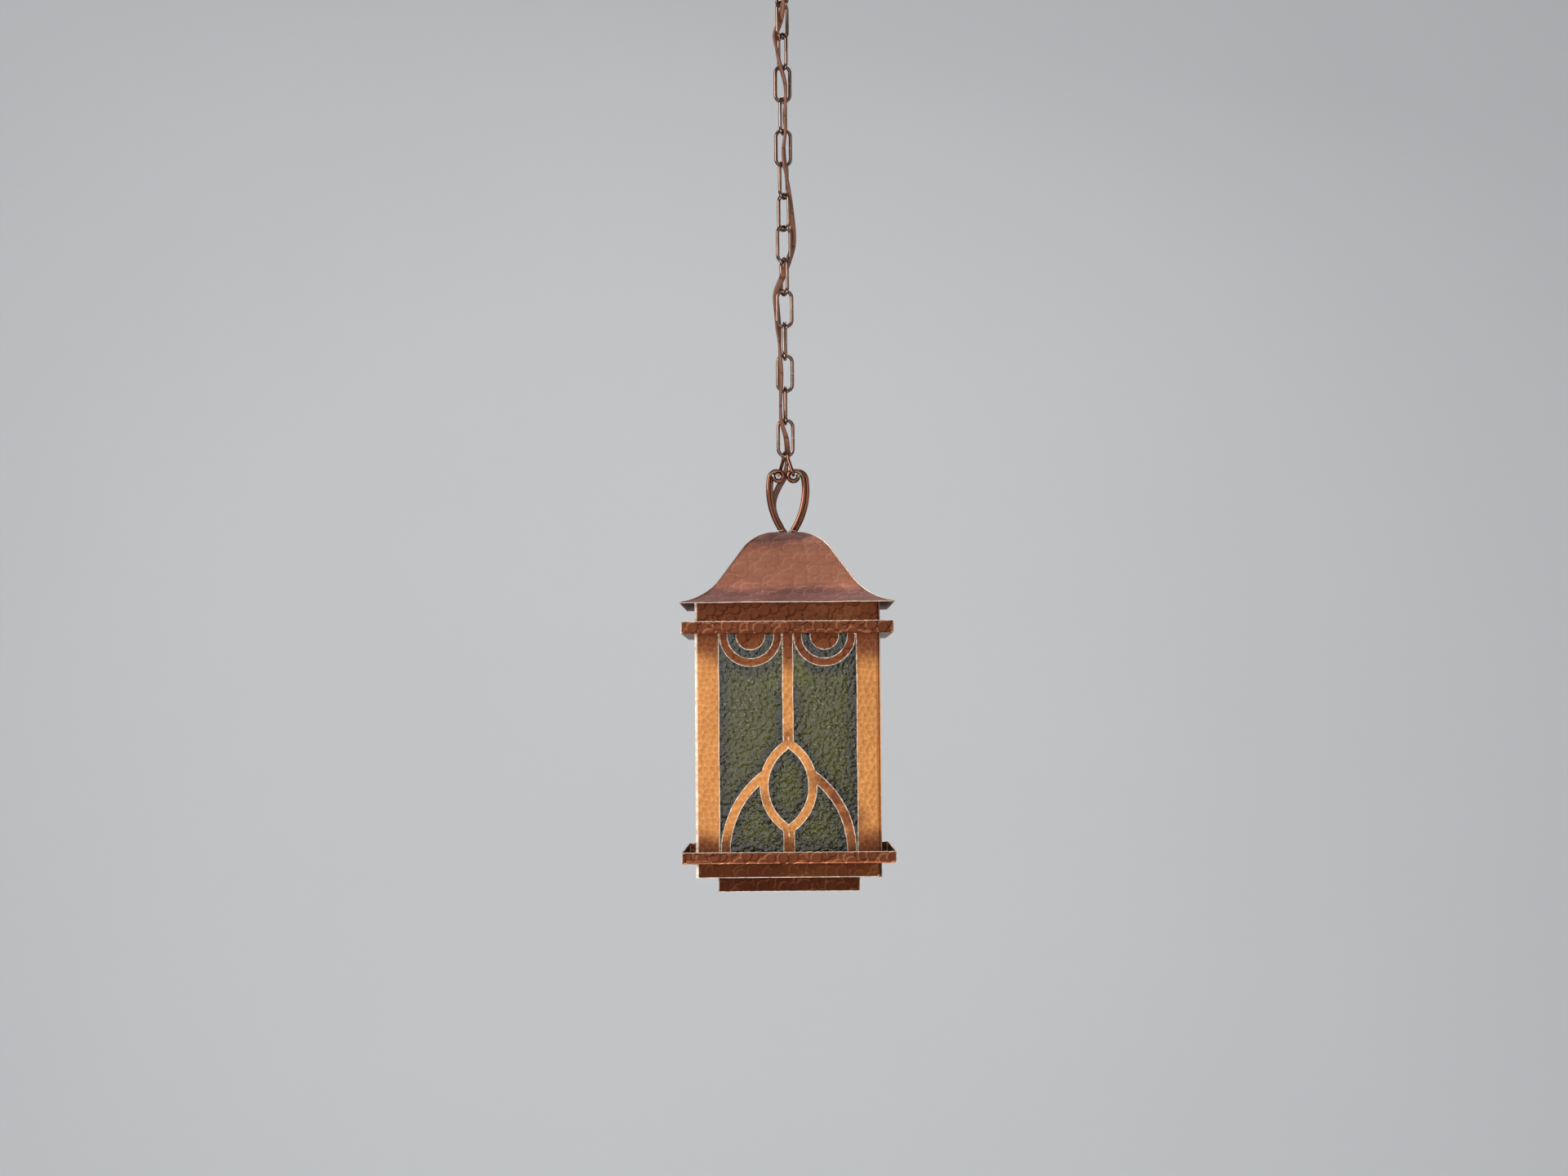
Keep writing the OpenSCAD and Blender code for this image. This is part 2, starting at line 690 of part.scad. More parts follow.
module socket_nut_upper() {
    color("gold") hex_nut(socket_strap_z + seat_gap);
}

module socket_nut_lower() {
    color("gold") hex_nut(socket_strap_z - socket_strap_t - seat_gap - nut_h);
}

// Drawn cap with a rounded shoulder and a neck on the nipple
module socket_cap() {
    neck_r = nipple_d / 2 + 2;
    outer = cap_in_d / 2 + cap_wall;
    drop = 7;
    color("gold") translate([0, 0, cap_top_z]) rotate_extrude() difference() {
        union() {
            translate([0, -4]) square([neck_r, 4]);
            translate([0, -18]) square([outer, 18 - drop]);
            intersection() {
                translate([outer - drop, -drop]) circle(r = drop);
                translate([outer - drop, -drop]) square([drop, drop]);
            }
            translate([0, -drop]) square([outer - drop, drop]);
        }
        translate([-1, -19]) square([1 + cap_in_d / 2, 19 - drop]);
        translate([-1, -drop - 0.01]) square([1 + outer - drop, drop + 0.01 - cap_wall]);
        intersection() {
            translate([outer - drop, -drop]) circle(r = drop - cap_wall);
            translate([outer - drop - 0.01, -drop - 0.01]) square([drop, drop]);
        }
        translate([-1, -20]) square([1 + (nipple_d + slip_gap) / 2, 21]);
    }
}

module socket_sleeve() {
    color("ivory") translate([0, 0, sleeve_top_z - sleeve_l]) difference() {
        cylinder(d = sleeve_d, h = sleeve_l);
        translate([0, 0, -1]) cylinder(d = sleeve_d - 2 * sleeve_wall, h = sleeve_l + 2);
    }
}

// The shell's upper end turns in round the contact
module screw_shell() {
    color("gold") translate([0, 0, shell_bottom_z]) difference() {
        cylinder(d = shell_d, h = shell_l);
        translate([0, 0, -1]) cylinder(d = shell_bore, h = shell_l - shell_wall + 1);
        cylinder(d = contact_d + 2, h = shell_l + 1);
    }
}

module socket_base() {
    color("white") translate([0, 0, socket_base_z])
        cylinder(d = sleeve_d - 2 * sleeve_wall - slip_gap, h = socket_base_h);
}

module centre_contact() {
    color("gold") translate([0, 0, socket_base_z - seat_gap - shell_wall])
        cylinder(d = contact_d, h = shell_wall);
}

// A point on the smooth curve through the rows of p, at t from row i to the next
function between(p, i, t) =
    let (
        a = p[i],
        b = p[i + 1],
        leave = (b - p[max(i - 1, 0)]) / 2,
        arrive = (p[min(i + 2, len(p) - 1)] - a) / 2
    )
    (2 * pow(t, 3) - 3 * t * t + 1) * a + (pow(t, 3) - 2 * t * t + t) * leave
        + (3 * t * t - 2 * pow(t, 3)) * b + (pow(t, 3) - t * t) * arrive;

// Flat two-core cord from the canopy's nipple down through the links, between the scroll
// eyes and through the crown into the socket's cap
module cord() {
    last = len(cord_route) - 1;
    rows = concat(
        [for (i = [0 : last - 1], t = [0, 0.5]) between(cord_route, i, t)],
        [cord_route[last]]
    );
    color("saddlebrown") sweep(
        [for (q = rows) [q[0], q[1], q[2]]],
        [[2.65, 0.55], [1.5, 1.3], [-1.5, 1.3], [-2.65, 0.55],
            [-2.65, -0.55], [-1.5, -1.3], [1.5, -1.3], [2.65, -0.55]],
        [1, 0, 0], [for (q = rows) -q[3]]
    );
}

canopy();
mounting_strap();
canopy_nipple();
canopy_nut();
canopy_loop();
for (k = [0 : link_count - 1]) chain_link(k);
connector();
for (k = [0 : 3]) hanger_wire(k > 1, k % 2 * 2 - 1);
crown_washer();
for (i = [0 : 3]) {
    roof_panel(i);
    side_panel(i);
    glass(i);
}
glass_tabs();
upper_band();
lower_band();
base_plate();
base_skirt();
socket_strap();
socket_nipple();
socket_nut_upper();
socket_nut_lower();
socket_cap();
socket_sleeve();
socket_base();
screw_shell();
centre_contact();
cord();
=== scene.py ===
"""Looks of a hanging lantern of hammered copper: every sheet with its hammer marks, the wire
work, the green glass, the cord, the finishes and a plain studio round it."""

import math

import bmesh
import bpy
import numpy as np
from mathutils import Matrix, Vector, kdtree
from mathutils.geometry import delaunay_2d_cdt


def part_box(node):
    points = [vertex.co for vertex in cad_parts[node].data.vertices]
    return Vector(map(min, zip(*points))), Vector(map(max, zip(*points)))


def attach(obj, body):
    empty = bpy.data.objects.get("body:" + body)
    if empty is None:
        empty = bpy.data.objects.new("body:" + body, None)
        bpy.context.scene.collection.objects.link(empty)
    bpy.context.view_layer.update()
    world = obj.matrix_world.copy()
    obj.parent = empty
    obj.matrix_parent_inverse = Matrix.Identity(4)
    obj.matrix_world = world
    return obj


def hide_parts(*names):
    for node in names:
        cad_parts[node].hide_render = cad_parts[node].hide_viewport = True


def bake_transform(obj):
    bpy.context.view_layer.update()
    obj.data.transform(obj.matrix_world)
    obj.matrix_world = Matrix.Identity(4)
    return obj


bl_info = {
    "name": "Hammered Copper Lantern",
    "version": (1, 0, 0),
    "blender": (4, 5, 0),
    "location": "View3D > Sidebar > Lantern",
    "description": "Dresses the solid frame of a hanging lantern in hammered copper and glass",
    "category": "Object",
}

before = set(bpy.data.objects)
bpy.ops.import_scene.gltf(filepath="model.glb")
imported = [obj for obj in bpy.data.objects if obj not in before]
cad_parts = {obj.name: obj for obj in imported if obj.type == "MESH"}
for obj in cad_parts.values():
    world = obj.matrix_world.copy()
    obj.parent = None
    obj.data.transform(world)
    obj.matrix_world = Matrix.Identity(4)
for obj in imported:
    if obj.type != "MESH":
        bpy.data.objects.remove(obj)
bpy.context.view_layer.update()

MM = 0.001
SIDES = ("front", "right", "back", "left")
LINK_COUNT = 15
LINKS = [f"chain_link_{k + 1:02d}" for k in range(LINK_COUNT)]
# How far the chain has twisted at each link, in degrees from +X
LINK_YAW = (-43, 47, -60, 0, 69, 0, 60, -47, 30, -66, 0, 85, 0, -88, 0)
CONNECTOR_YAW = -63.4
GAP = 0.3 * MM
SEAT = 0.1 * MM
MITRE_GAP = 0.02 * MM

# The cord's middle line: x, y, z in millimetres and the turn of its wide side in degrees
CORD_ROUTE = (
    (0, 0, -1, 45), (0, 0, -20, 45), (0, 0, -38, 45), (6.5, 1, -54, 45),
    (1, -1.5, -68, 60), (1, -6, -81.5, 120), (-1.5, -1.5, -95.5, 165), (-6, -0.5, -109, 225),
    (-4.5, -3, -123, 270), (-1.5, -5, -137, 285), (2, -4, -150.5, 285), (2.5, -4.5, -164.5, 270),
    (1.5, -4, -178, 285), (2, -5, -192, 270), (0.5, -4.5, -206, 255), (1, -5, -219.5, 240),
    (3, -2.5, -233.5, 285), (5, -0.5, -247, 300), (6.5, 1, -261, 315), (8, 4.5, -275, 315),
    (7.5, 7, -288.5, 345), (3.5, 5.5, -302.5, 375), (-1.5, 1.5, -316, 360), (-7, 3.5, -330, 360),
    (-6.5, 4.5, -344, 360), (-5.5, 3.5, -357.5, 375), (-4.5, -0.5, -371.5, 435), (-4, -5, -385, 465),
    (-3, -5.5, -399, 465), (-3.5, -5, -413, 465), (-4, -4, -426.5, 450), (-3.5, -5, -440.5, 465),
    (0.5, 1, -454, 495), (1.5, 5.5, -468, 495), (0.5, 6, -477, 465), (-1, 6.5, -486, 525),
    (-6, 6.5, -495, 540), (-10, 6.5, -504, 540), (-11, 6.5, -513, 540), (-8.5, 6.5, -522, 540),
    (-4, 6, -531, 540), (-1, 6, -541, 540), (-0.5, 2, -560, 540), (0, 0, -580, 540),
    (0, 0, -620, 540),
)

# Dark spots on each side panel: across, down from the upper band, reach in mm, and strength
PANEL_STAINS = (
    ((32, -120, 14, 0.85), (40, -134, 13, 0.95), (49, -150, 14, 0.95), (54, -166, 12, 0.8),
     (0, -84, 7, 0.6), (-20, -136, 9, 0.5)),
    ((-30, -118, 15, 0.7), (18, -96, 10, 0.5), (66, -60, 18, 0.4)),
    ((40, -140, 16, 0.7), (-66, -90, 20, 0.5), (0, -60, 9, 0.6)),
    ((-44, -146, 15, 0.8), (64, -110, 16, 0.45), (-16, -130, 9, 0.5)),
)

# Middle line of the solder by each foot of the hanger: out, back and above the crown, in mm
FOOT_SOLDER = (
    (2.2, -3.6, 1.6), (3.4, -3.7, 2.0), (4.8, -3.5, 1.5), (6.2, -3.4, 1.7),
    (7.6, -3.3, 0.9), (8.8, -3.2, 0.7), (9.8, -3.2, 0.3),
)

# Soft lamps: name, place, size in metres and power in watts
LAMPS = (
    ("key_light", (-1.9, -1.5, 0.3), 1.3, 46),
    ("fill_light", (2.3, -1.6, -0.2), 1.6, 10),
    ("top_light", (0.3, 0.9, 1.3), 1.2, 16),
    ("front_light", (-0.5, -3.3, -0.3), 1.6, 15),
    ("low_light", (0.1, -0.75, -1.68), 0.8, 15),
)


def length(name, text, value):
    """A size property in metres, given in millimetres."""
    return bpy.props.FloatProperty(
        name=name, description=text, default=value * MM, min=0, unit="LENGTH", precision=5
    )


def factor(name, text, value):
    """A plain number as a property."""
    return bpy.props.FloatProperty(name=name, description=text, default=value)


def colour(name, text, value):
    """A colour property."""
    return bpy.props.FloatVectorProperty(
        name=name, description=text, default=value, size=3, subtype="COLOR", min=0, max=1
    )


class LanternHammering(bpy.types.PropertyGroup):
    sheet: length("Sheet", "Thickness of the copper sheet", 1)
    step: length("Step", "Spacing of the points that carry the hammer marks", 1.05)
    pane_pitch: length("Panel blows", "Distance between the blows on the panels", 4.8)
    pane_depth: length("Panel depth", "Depth of the blows on the panels", 0.16)
    band_pitch: length("Band blows", "Distance between the blows on the frieze and bands", 6.6)
    band_depth: length("Band depth", "Depth of the blows on the frieze and bands", 0.2)
    roof_pitch: length("Roof blows", "Distance between the blows on the roof", 7)
    roof_depth: length("Roof depth", "Depth of the blows on the roof", 0.11)
    skirt_flange: length("Base flange", "Width of the flange that the lowest tier hangs by", 6)
    waver: length("Waver", "How far the hand-cut outlines waver", 0.22)
    nibble: length("Nibble", "Depth of the scallops along the bands' edges", 0.45)
    nibble_pitch: length("Nibble pitch", "Length of a scallop on the bands' edges", 5.2)
    thin_nibble: length("Thin nibble", "Depth of the scallops on the roof and the base", 0.25)
    base_pitch: length("Base nibble pitch", "Length of a scallop on the lowest tier", 6)


class LanternRoof(bpy.types.PropertyGroup):
    crown_flat: length("Crown flat", "Half width of the flat crown", 7.5)
    crown_r: length("Crown radius", "Radius of the convex curve below the crown", 35.5)
    eave_r: length("Eave radius", "Radius of the flared curve above the eave", 50)
    slope: factor("Slope", "Steepest slope of the roof in degrees", 54.7)
    hole_r: length("Crown hole", "Radius of the hole in the crown", 9.2)
    seam: length("Seam", "Width of the solder seams along the hips", 1.3)
    nibble_pitch: length("Nibble pitch", "Length of a scallop on the eaves", 7)


class LanternCanopy(bpy.types.PropertyGroup):
    shoulder: length("Shoulder", "Radius of the canopy's rounded lower edge", 14)
    hole_r: length("Hole", "Radius of the hole for the nipple", 5.1)
    step: length("Step", "Spacing of the points that carry the hammer marks", 1.5)


class LanternWindow(bpy.types.PropertyGroup):
    fold_r: length("Fold", "Outside radius of the body's folded corners", 2)
    flange: length("Flange", "Length of the soldering flange at each corner", 8)
    lip: length("Lip", "Width of the lip folded in below each panel", 8)
    width: length("Window", "Width of the window opening", 112.6)
    bar: length("Bar", "Width of the upright bar above the pointed oval", 8.9)
    stem: length("Stem", "Width of the stem below the pointed oval", 9.4)
    ring_x: length("Ring place", "Distance of the half rings from the middle", 30.3)
    ring_r: length("Ring radius", "Outside radius of the half rings", 25.6)
    ring_band: length("Ring band", "Width of the half rings' band", 6.9)
    disc_r: length("Disc radius", "Radius of the half discs", 12.1)
    oval_r: length("Oval radius", "Radius of the two arcs of the pointed oval", 37.2)
    oval_x: length("Oval place", "Distance of each arc's centre from the middle", 20.9)
    oval_band: length("Oval band", "Width of the pointed oval's band", 7.2)
    oval_h: length("Oval height", "Height of the oval's middle above the window's edge", 55.2)
    spring_r: length("Spring radius", "Outside radius of the springing arcs", 81.1)
    spring_band: length("Spring band", "Width of the springing arcs' band", 7.8)
    spring_rise: length("Spring rise", "Height of the springing arcs' centres", 1.8)
    spring_out: length("Spring lap", "How far the springing arcs run behind the pilasters", 0.8)
    ring_drop: length("Ring drop", "Depth of the half rings' centres below the upper band", 1.2)
    bar_lap: length("Bar lap", "How far the bar's edges run into the oval", 2)
    frieze_reach: length("Frieze reach", "Depth of the frieze's marks in the window", 30)
    # A painted highlight strip along the front's left corner
    corner_highlight: length("Corner wear", "Width of the bare metal along the left corner", 2.4)


class LanternGlass(bpy.types.PropertyGroup):
    step: length("Step", "Spacing of the points that carry the ripples", 1.6)
    # The panes get a painted shadow of the metal along its edges
    trace: length("Trace", "Spacing of the points of the edges that a pane is darker along", 1.5)
    shade: length("Shade", "How far a pane is darker along the metal", 8)
    fine_pitch: length("Fine ripples", "Distance between the small dents in the glass", 3.1)
    fine_depth: length("Fine depth", "Depth of the small dents in the glass", 0.06)
    broad_pitch: length("Broad ripples", "Distance between the large dents in the glass", 7.5)
    broad_depth: length("Broad depth", "Depth of the large dents in the glass", 0.12)


class LanternWire(bpy.types.PropertyGroup):
    wire: length("Chain wire", "Wire diameter of the chain", 3)
    link_w: length("Link width", "Width of a link, to the middle of its wire", 12.4)
    butt: length("Butt joint", "Slot at the butt joint of a link", 0.4)
    hanger: length("Hanger wire", "Wire diameter of the hanger", 3.6)
    eye_r: length("Eye radius", "Radius of a scroll eye", 4.2)
    eye_x: length("Eye place", "Distance of each scroll eye from the middle", 6.34)
    eye_h: length("Eye height", "Height of the scroll eyes above the crown", 48.3)
    heart_w: length("Heart width", "Half width of the front heart", 15.2)
    widest_h: length("Widest height", "Height of the heart's widest place", 37)
    foot: length("Foot", "Distance of the front heart's feet from the middle", 3.5)
    shift: length("Shift", "Sideways offset of the rear heart", 3)
    tail_r: length("Tail radius", "Radius of the bend at the foot of a hanger wire", 4)
    tail: length("Tail", "Reach of a hanger wire's tail from the middle", 11.5)
    bend_r: length("Connector bend", "Radius of the connector's bend over the last link", 4.6)
    elbow_r: length("Connector elbow", "Radius of the bend above each hook", 2.4)
    neck: length("Connector neck", "Straight wire below the connector's bend", 1.6)
    drop: length("Connector drop", "From the top of the connector's bend to its hooks", 19.65)
    splay: length("Connector splay", "How far each elbow stands in front of the eyes", 10.5)
    hook: length("Hook", "How far each hook reaches past the eyes", 6)


class LanternFinish(bpy.types.PropertyGroup):
    bright: colour("Bright copper", "Clean copper of the panels", (0.62, 0.255, 0.076))
    bright_aged: colour("Aged panels", "Red-brown stain on the panels", (0.19, 0.058, 0.026))
    # Ridges: polished copper with painted highlight over it, also the painted highlight of the
    # frieze's blows and of the left corner
    ridge: colour("Ridges", "Rubbed copper between the blows on the panels", (0.92, 0.50, 0.19))
    roof: colour("Roof copper", "Pinkish-brown copper of the roof", (0.76, 0.305, 0.18))
    # Painted highlight on the lit side of each blow on the roof and the canopy
    roof_glint: colour("Roof glints", "Rubbed rims of the blows on the roof", (0.92, 0.48, 0.32))
    roof_aged: colour("Aged roof", "Mauve-brown stain on the roof", (0.17, 0.07, 0.058))
    band: colour("Band copper", "Red-brown copper of the frieze and bands", (0.175, 0.053, 0.024))
    # Painted highlight on the lit side of each blow on the bands and the lowest tier
    band_glint: colour("Band glints", "Rubbed rims of the blows on the bands", (0.55, 0.22, 0.10))
    band_aged: colour("Aged bands", "Dark brown stain on the bands", (0.075, 0.022, 0.012))
    link: colour("Chain copper", "Dark bronzed copper of the links", (0.24, 0.145, 0.105))
    link_aged: colour("Aged chain", "Nearly black stain on the links", (0.05, 0.03, 0.022))
    wire: colour("Wire copper", "Dark copper of the hanger", (0.23, 0.09, 0.052))
    wire_aged: colour("Aged wire", "Nearly black stain on the wire", (0.07, 0.03, 0.02))
    # Cut edge: bare metal with painted highlight over it, and the painted highlight strip along the
    # left corner
    cut: colour("Cut edge", "Pale metal where an edge is cut or worn", (1.0, 0.87, 0.70))
    # Painted shadow of the metal on a pane, and the glass's darker clouds
    glass_shadow_and_mottle: colour("Dark glass", "Darker green of a pane along the metal", (0.035, 0.035, 0.01))
    glass_lit: colour("Lamplight", "Colour of the light that a pane lets in", (0.92, 0.92, 0.66))
    glass: colour("Glass", "Green of the panes", (0.31, 0.295, 0.035))


class LanternStage(bpy.types.PropertyGroup):
    distance: length("Camera distance", "From the camera to the lantern's middle", 2360)
    horizon: length("Camera drop", "Depth of the camera below the ceiling plane", 690)
    lens: factor("Lens", "Focal length on a 36 mm sensor, in millimetres", 64)
    tilt: factor("Tilt", "Upward tilt of the camera in degrees", 2.63)
    roll: factor("Roll", "Roll of the camera in degrees", -0.48)
    side: factor("Camera side step", "Sideways place of the camera in millimetres", -2.4)
    backdrop: colour("Backdrop", "Colour of the floor and backdrop", (0.74, 0.745, 0.75))
    floor: length("Floor", "Depth of the floor below the ceiling plane", 1750)
    back: length("Back", "From the lantern to the backdrop", 2600)
    sweep: length("Sweep", "Radius of the curve between floor and backdrop", 800)
    half_width: length("Half width", "Half the width of the floor", 12000)
    front: length("Front", "How far the floor reaches in front of the lantern", 8000)
    wall: length("Wall", "Height of the backdrop above the ceiling plane", 5000)
    aim: length("Aim", "Depth below the ceiling plane that the lamps point at", 680)
    air: colour("Air", "Colour of the light from all round", (0.80, 0.82, 0.86))
    air_strength: factor("Air strength", "Strength of the light from all round", 0.36)


def settings(kind):
    """The scene's property group of that kind."""
    return getattr(bpy.context.scene, "lantern_" + kind)


# Levels, taken from the solids
ROOF_LOW, ROOF_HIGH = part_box("roof_panel_front")
CROWN_Z = ROOF_HIGH.z
EAVE_Z = ROOF_LOW.z
HALF_EAVE = ROOF_HIGH.x
PANEL_LOW, PANEL_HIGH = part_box("side_panel_front")
HALF_BODY = -PANEL_LOW.y
BODY_BOTTOM = PANEL_LOW.z
BODY_TOP = PANEL_HIGH.z
UPPER_LOW, UPPER_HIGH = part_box("upper_band")
LOWER_LOW, LOWER_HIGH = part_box("lower_band")
# The window's edges lie behind the bands
WINDOW_TOP = UPPER_LOW.z + 2 * MM
WINDOW_BOTTOM = LOWER_HIGH.z - 2.5 * MM


# Plain helpers for objects and meshes


def add_object(name, mesh, body=None, slot=None, material=None, replaces=()):
    """Links a finished mesh and lets it ride on its body."""
    piece = bpy.data.objects.new(name, mesh)
    bpy.context.scene.collection.objects.link(piece)
    if material:
        mesh.materials.clear()
        mesh.materials.append(material)
    if body:
        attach(piece, body)
    if replaces:
        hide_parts(*replaces)
    return piece


def make_mesh(name, points, faces, marks=None):
    """A smooth mesh from points and faces, with float attributes from marks."""
    mesh = bpy.data.meshes.new(name)
    mesh.from_pydata(np.asarray(points).tolist(), [], faces)
    for key, values in (marks or {}).items():
        attribute = mesh.attributes.new(key, "FLOAT", "POINT")
        attribute.data.foreach_set("value", np.asarray(values, np.float32))
    mesh.shade_smooth()
    mesh.update()
    return mesh


def sharpen(mesh, degrees):
    """Marks the edges that are bent more than the given angle as sharp."""
    solid = bmesh.new()
    solid.from_mesh(mesh)
    limit = math.radians(degrees)
    for edge in solid.edges:
        edge.smooth = len(edge.link_faces) != 2 or edge.calc_face_angle(0) < limit
    solid.to_mesh(mesh)
    solid.free()


def fix_normals(mesh):
    """Turns every face of a closed mesh outwards."""
    solid = bmesh.new()
    solid.from_mesh(mesh)
    bmesh.ops.recalc_face_normals(solid, faces=solid.faces)
    solid.to_mesh(mesh)
    solid.free()


def tube(rings):
    """Points and faces of a closed tube through rings that have as many points each."""
    sides = len(rings[0])
    points = [tuple(point) for ring in rings for point in ring]
    faces = []
    for i in range(len(rings) - 1):
        for j in range(sides):
            k = (j + 1) % sides
            faces.append((i * sides + j, i * sides + k, (i + 1) * sides + k, (i + 1) * sides + j))
    faces.append(tuple(range(sides))[::-1])
    faces.append(tuple((len(rings) - 1) * sides + j for j in range(sides)))
    return points, faces


def spacing(step):
    """A mesh step, doubled for a quick look."""
    return step * 1


def ramp(value, start, end):
    """From 0 at the start to 1 at the end, and held beyond them."""
    return np.clip((value - start) / (end - start), 0, 1)


def finder_of(points):
    """A tree that finds the nearest of some points on a sheet."""
    finder = kdtree.KDTree(len(points))
    for i, point in enumerate(points):
        finder.insert((point[0], point[1], 0), i)
    finder.balance()
    return finder


def turned(points, quarter):
    """Points turned by quarters of a circle about the Z axis."""
    turn = Matrix.Rotation(quarter * math.pi / 2, 3, "Z")
    return np.asarray(points) @ np.array(turn).T


# Hammer marks


def scatter(cells, seed, channel):
    """A fixed random number from 0 to 1 for each cell of a grid."""
    mixed = (
        cells[..., 0] * 73856093
        ^ cells[..., 1] * 19349663
        ^ cells[..., 2] * 83492791
        ^ (seed * 2654435 + channel * 97531)
    ) & 0x7FFFFFFF
    for _ in range(2):
        mixed = (mixed ^ (mixed >> 15)) * 2246822519 & 0x7FFFFFFF
        mixed = (mixed ^ (mixed >> 13)) * 3266489917 & 0x7FFFFFFF
    return (mixed & 0xFFFF) / 0xFFFF


def blows(places, pitch, seed):
    """For each place, the way from each blow round it in pitches, and that blow's order."""
    scaled = np.asarray(places) / pitch
    axes = scaled.shape[1]
    rows = np.floor(scaled[:, 1])
    for step in (-1, 0, 1):
        row = rows + step
        slid = scaled[:, 0] + (row % 2) / 2
        for offset in np.ndindex(*(3,) * (axes - 1)):
            cell = np.zeros((len(scaled), 3), np.int64)
            cell[:, 0] = np.floor(slid) + offset[0] - 1
            cell[:, 1] = row
            if axes > 2:
                cell[:, 2] = np.floor(scaled[:, 2]) + offset[1] - 1
            away = scaled - cell[:, :axes] - 0.5
            away[:, 0] += (row % 2) / 2
            for axis in range(axes):
                away[:, axis] -= (scatter(cell, seed, axis) - 0.5) * 0.7
            yield away, scatter(cell, seed, 5)


def planished(places, pitch, depth, seed):
    """Close-set dishes that meet in ridges. Returns the height, at most 0, and the ridges."""
    nearest = np.full(len(places), 9.0)
    second = nearest.copy()
    for away, _ in blows(places, pitch, seed):
        apart = np.sqrt((away**2).sum(axis=1))
        second = np.minimum(second, np.maximum(nearest, apart))
        nearest = np.minimum(nearest, apart)
    ridge = np.clip(1 - (second - nearest) / 0.3, 0, 1)
    dish = 1 - np.clip(nearest / 0.62, 0, 1) ** 2
    return -depth * dish, ridge


def overlapped(places, pitch, depth, seed):
    """Round dishes, each blow cutting into those before it: height, dark and light rims."""
    height = np.zeros(len(places))
    rim = np.zeros(len(places))
    glint = np.zeros(len(places))
    latest = np.full(len(places), -1.0)
    reach = 0.6
    for away, order in blows(places, pitch, seed):
        squared = (away**2).sum(axis=1)
        hit = (squared < reach) & (order > latest)
        latest[hit] = order[hit]
        share = squared[hit] / reach
        height[hit] = -depth * (1 - share)
        # Lean picks a side of each dish: rim is painted shade on it, glint painted highlight on the
        # other side
        lean = (away[hit, 0] - away[hit, 1]) * 0.45
        rim[hit] = np.clip((share + lean * share - 0.55) / 0.5, 0, 1)
        glint[hit] = np.clip((share - 1.6 * lean * share - 0.62) / 0.4, 0, 1)
    return height, rim, glint


def waver(places, reach, wave, seed):
    """Slow side-to-side drift of a hand-cut line, within reach."""
    drift = np.zeros(len(places))
    for octave, share in ((1, 0.6), (2.3, 0.4)):
        phase = scatter(np.array([[seed, int(octave * 10), 7]]), seed, 3)[0] * 6.28
        drift += share * np.sin(places[:, 0] * octave / wave + phase + places[:, 2] * 0.7 / wave)
    return reach * drift


# Sheets


class Outline:
    """Closed or open lines on a flat sheet, as points no further apart than the step."""

    def __init__(self, step):
        self.step = step
        self.points = []
        self.edges = []

    def line(self, *corners, closed=False):
        """Straight stretches through the corners."""
        stops = list(corners) + ([corners[0]] if closed else [])
        dense = [stops[0]]
        for a, b in zip(stops, stops[1:]):
            count = max(1, math.ceil(math.dist(a, b) / self.step))
            for i in range(1, count + 1):
                dense.append((a[0] + (b[0] - a[0]) * i / count, a[1] + (b[1] - a[1]) * i / count))
        if closed:
            dense.pop()
        first = len(self.points)
        self.points += dense
        self.edges += [(first + i, first + i + 1) for i in range(len(dense) - 1)]
        if closed:
            self.edges.append((len(self.points) - 1, first))

    def arc(self, centre, radius, start, end):
        """Counter-clockwise from start to end, in degrees. A full turn is closed."""
        turn = math.radians(end - start)
        count = max(6, math.ceil(radius * turn / self.step))
        whole = end - start >= 360
        self.line(
            *(
                (
                    centre[0] + radius * math.cos(math.radians(start) + turn * i / count),
                    centre[1] + radius * math.sin(math.radians(start) + turn * i / count),
                )
                for i in range(count if whole else count + 1)
            ),
            closed=whole,
        )


def cut_sheet(outline, low, high, is_metal):
    """Triangles of the flat sheet inside the outline: points and faces.

    The sheet is filled with a grid of even triangles, which keeps clear of the outline.
    """
    step = outline.step
    least_area = 1e-12
    finder = finder_of(outline.points)
    filling = []
    row_height = step * 0.87
    rows = int((high[1] - low[1]) / row_height) + 1
    for row in range(rows):
        v = low[1] + row * row_height
        u = low[0] + (row % 2) * step / 2
        while u < high[0]:
            filling.append((u, v))
            u += step
    filling = np.array(filling)
    filling = filling[is_metal(filling[:, 0], filling[:, 1])]
    clear = [p for p in filling.tolist() if finder.find((p[0], p[1], 0))[2] > 0.55 * step]
    flat = [Vector(p) for p in outline.points + [tuple(p) for p in clear]]
    points, _, faces, *_ = delaunay_2d_cdt(flat, outline.edges, [], 0, 1e-7)
    points = np.array([tuple(p) for p in points])
    faces = np.array(faces)
    middle = points[faces].mean(axis=1)
    faces = faces[is_metal(middle[:, 0], middle[:, 1])]
    a, b, c = (points[faces[:, i]] for i in range(3))
    area = (b[:, 0] - a[:, 0]) * (c[:, 1] - a[:, 1]) - (b[:, 1] - a[:, 1]) * (c[:, 0] - a[:, 0])
    faces = faces[np.abs(area) > least_area]
    flip = area[np.abs(area) > least_area] < 0
    faces[flip] = faces[flip][:, ::-1]
    used, inverse = np.unique(faces, return_inverse=True)
    return points[used], inverse.reshape(faces.shape)


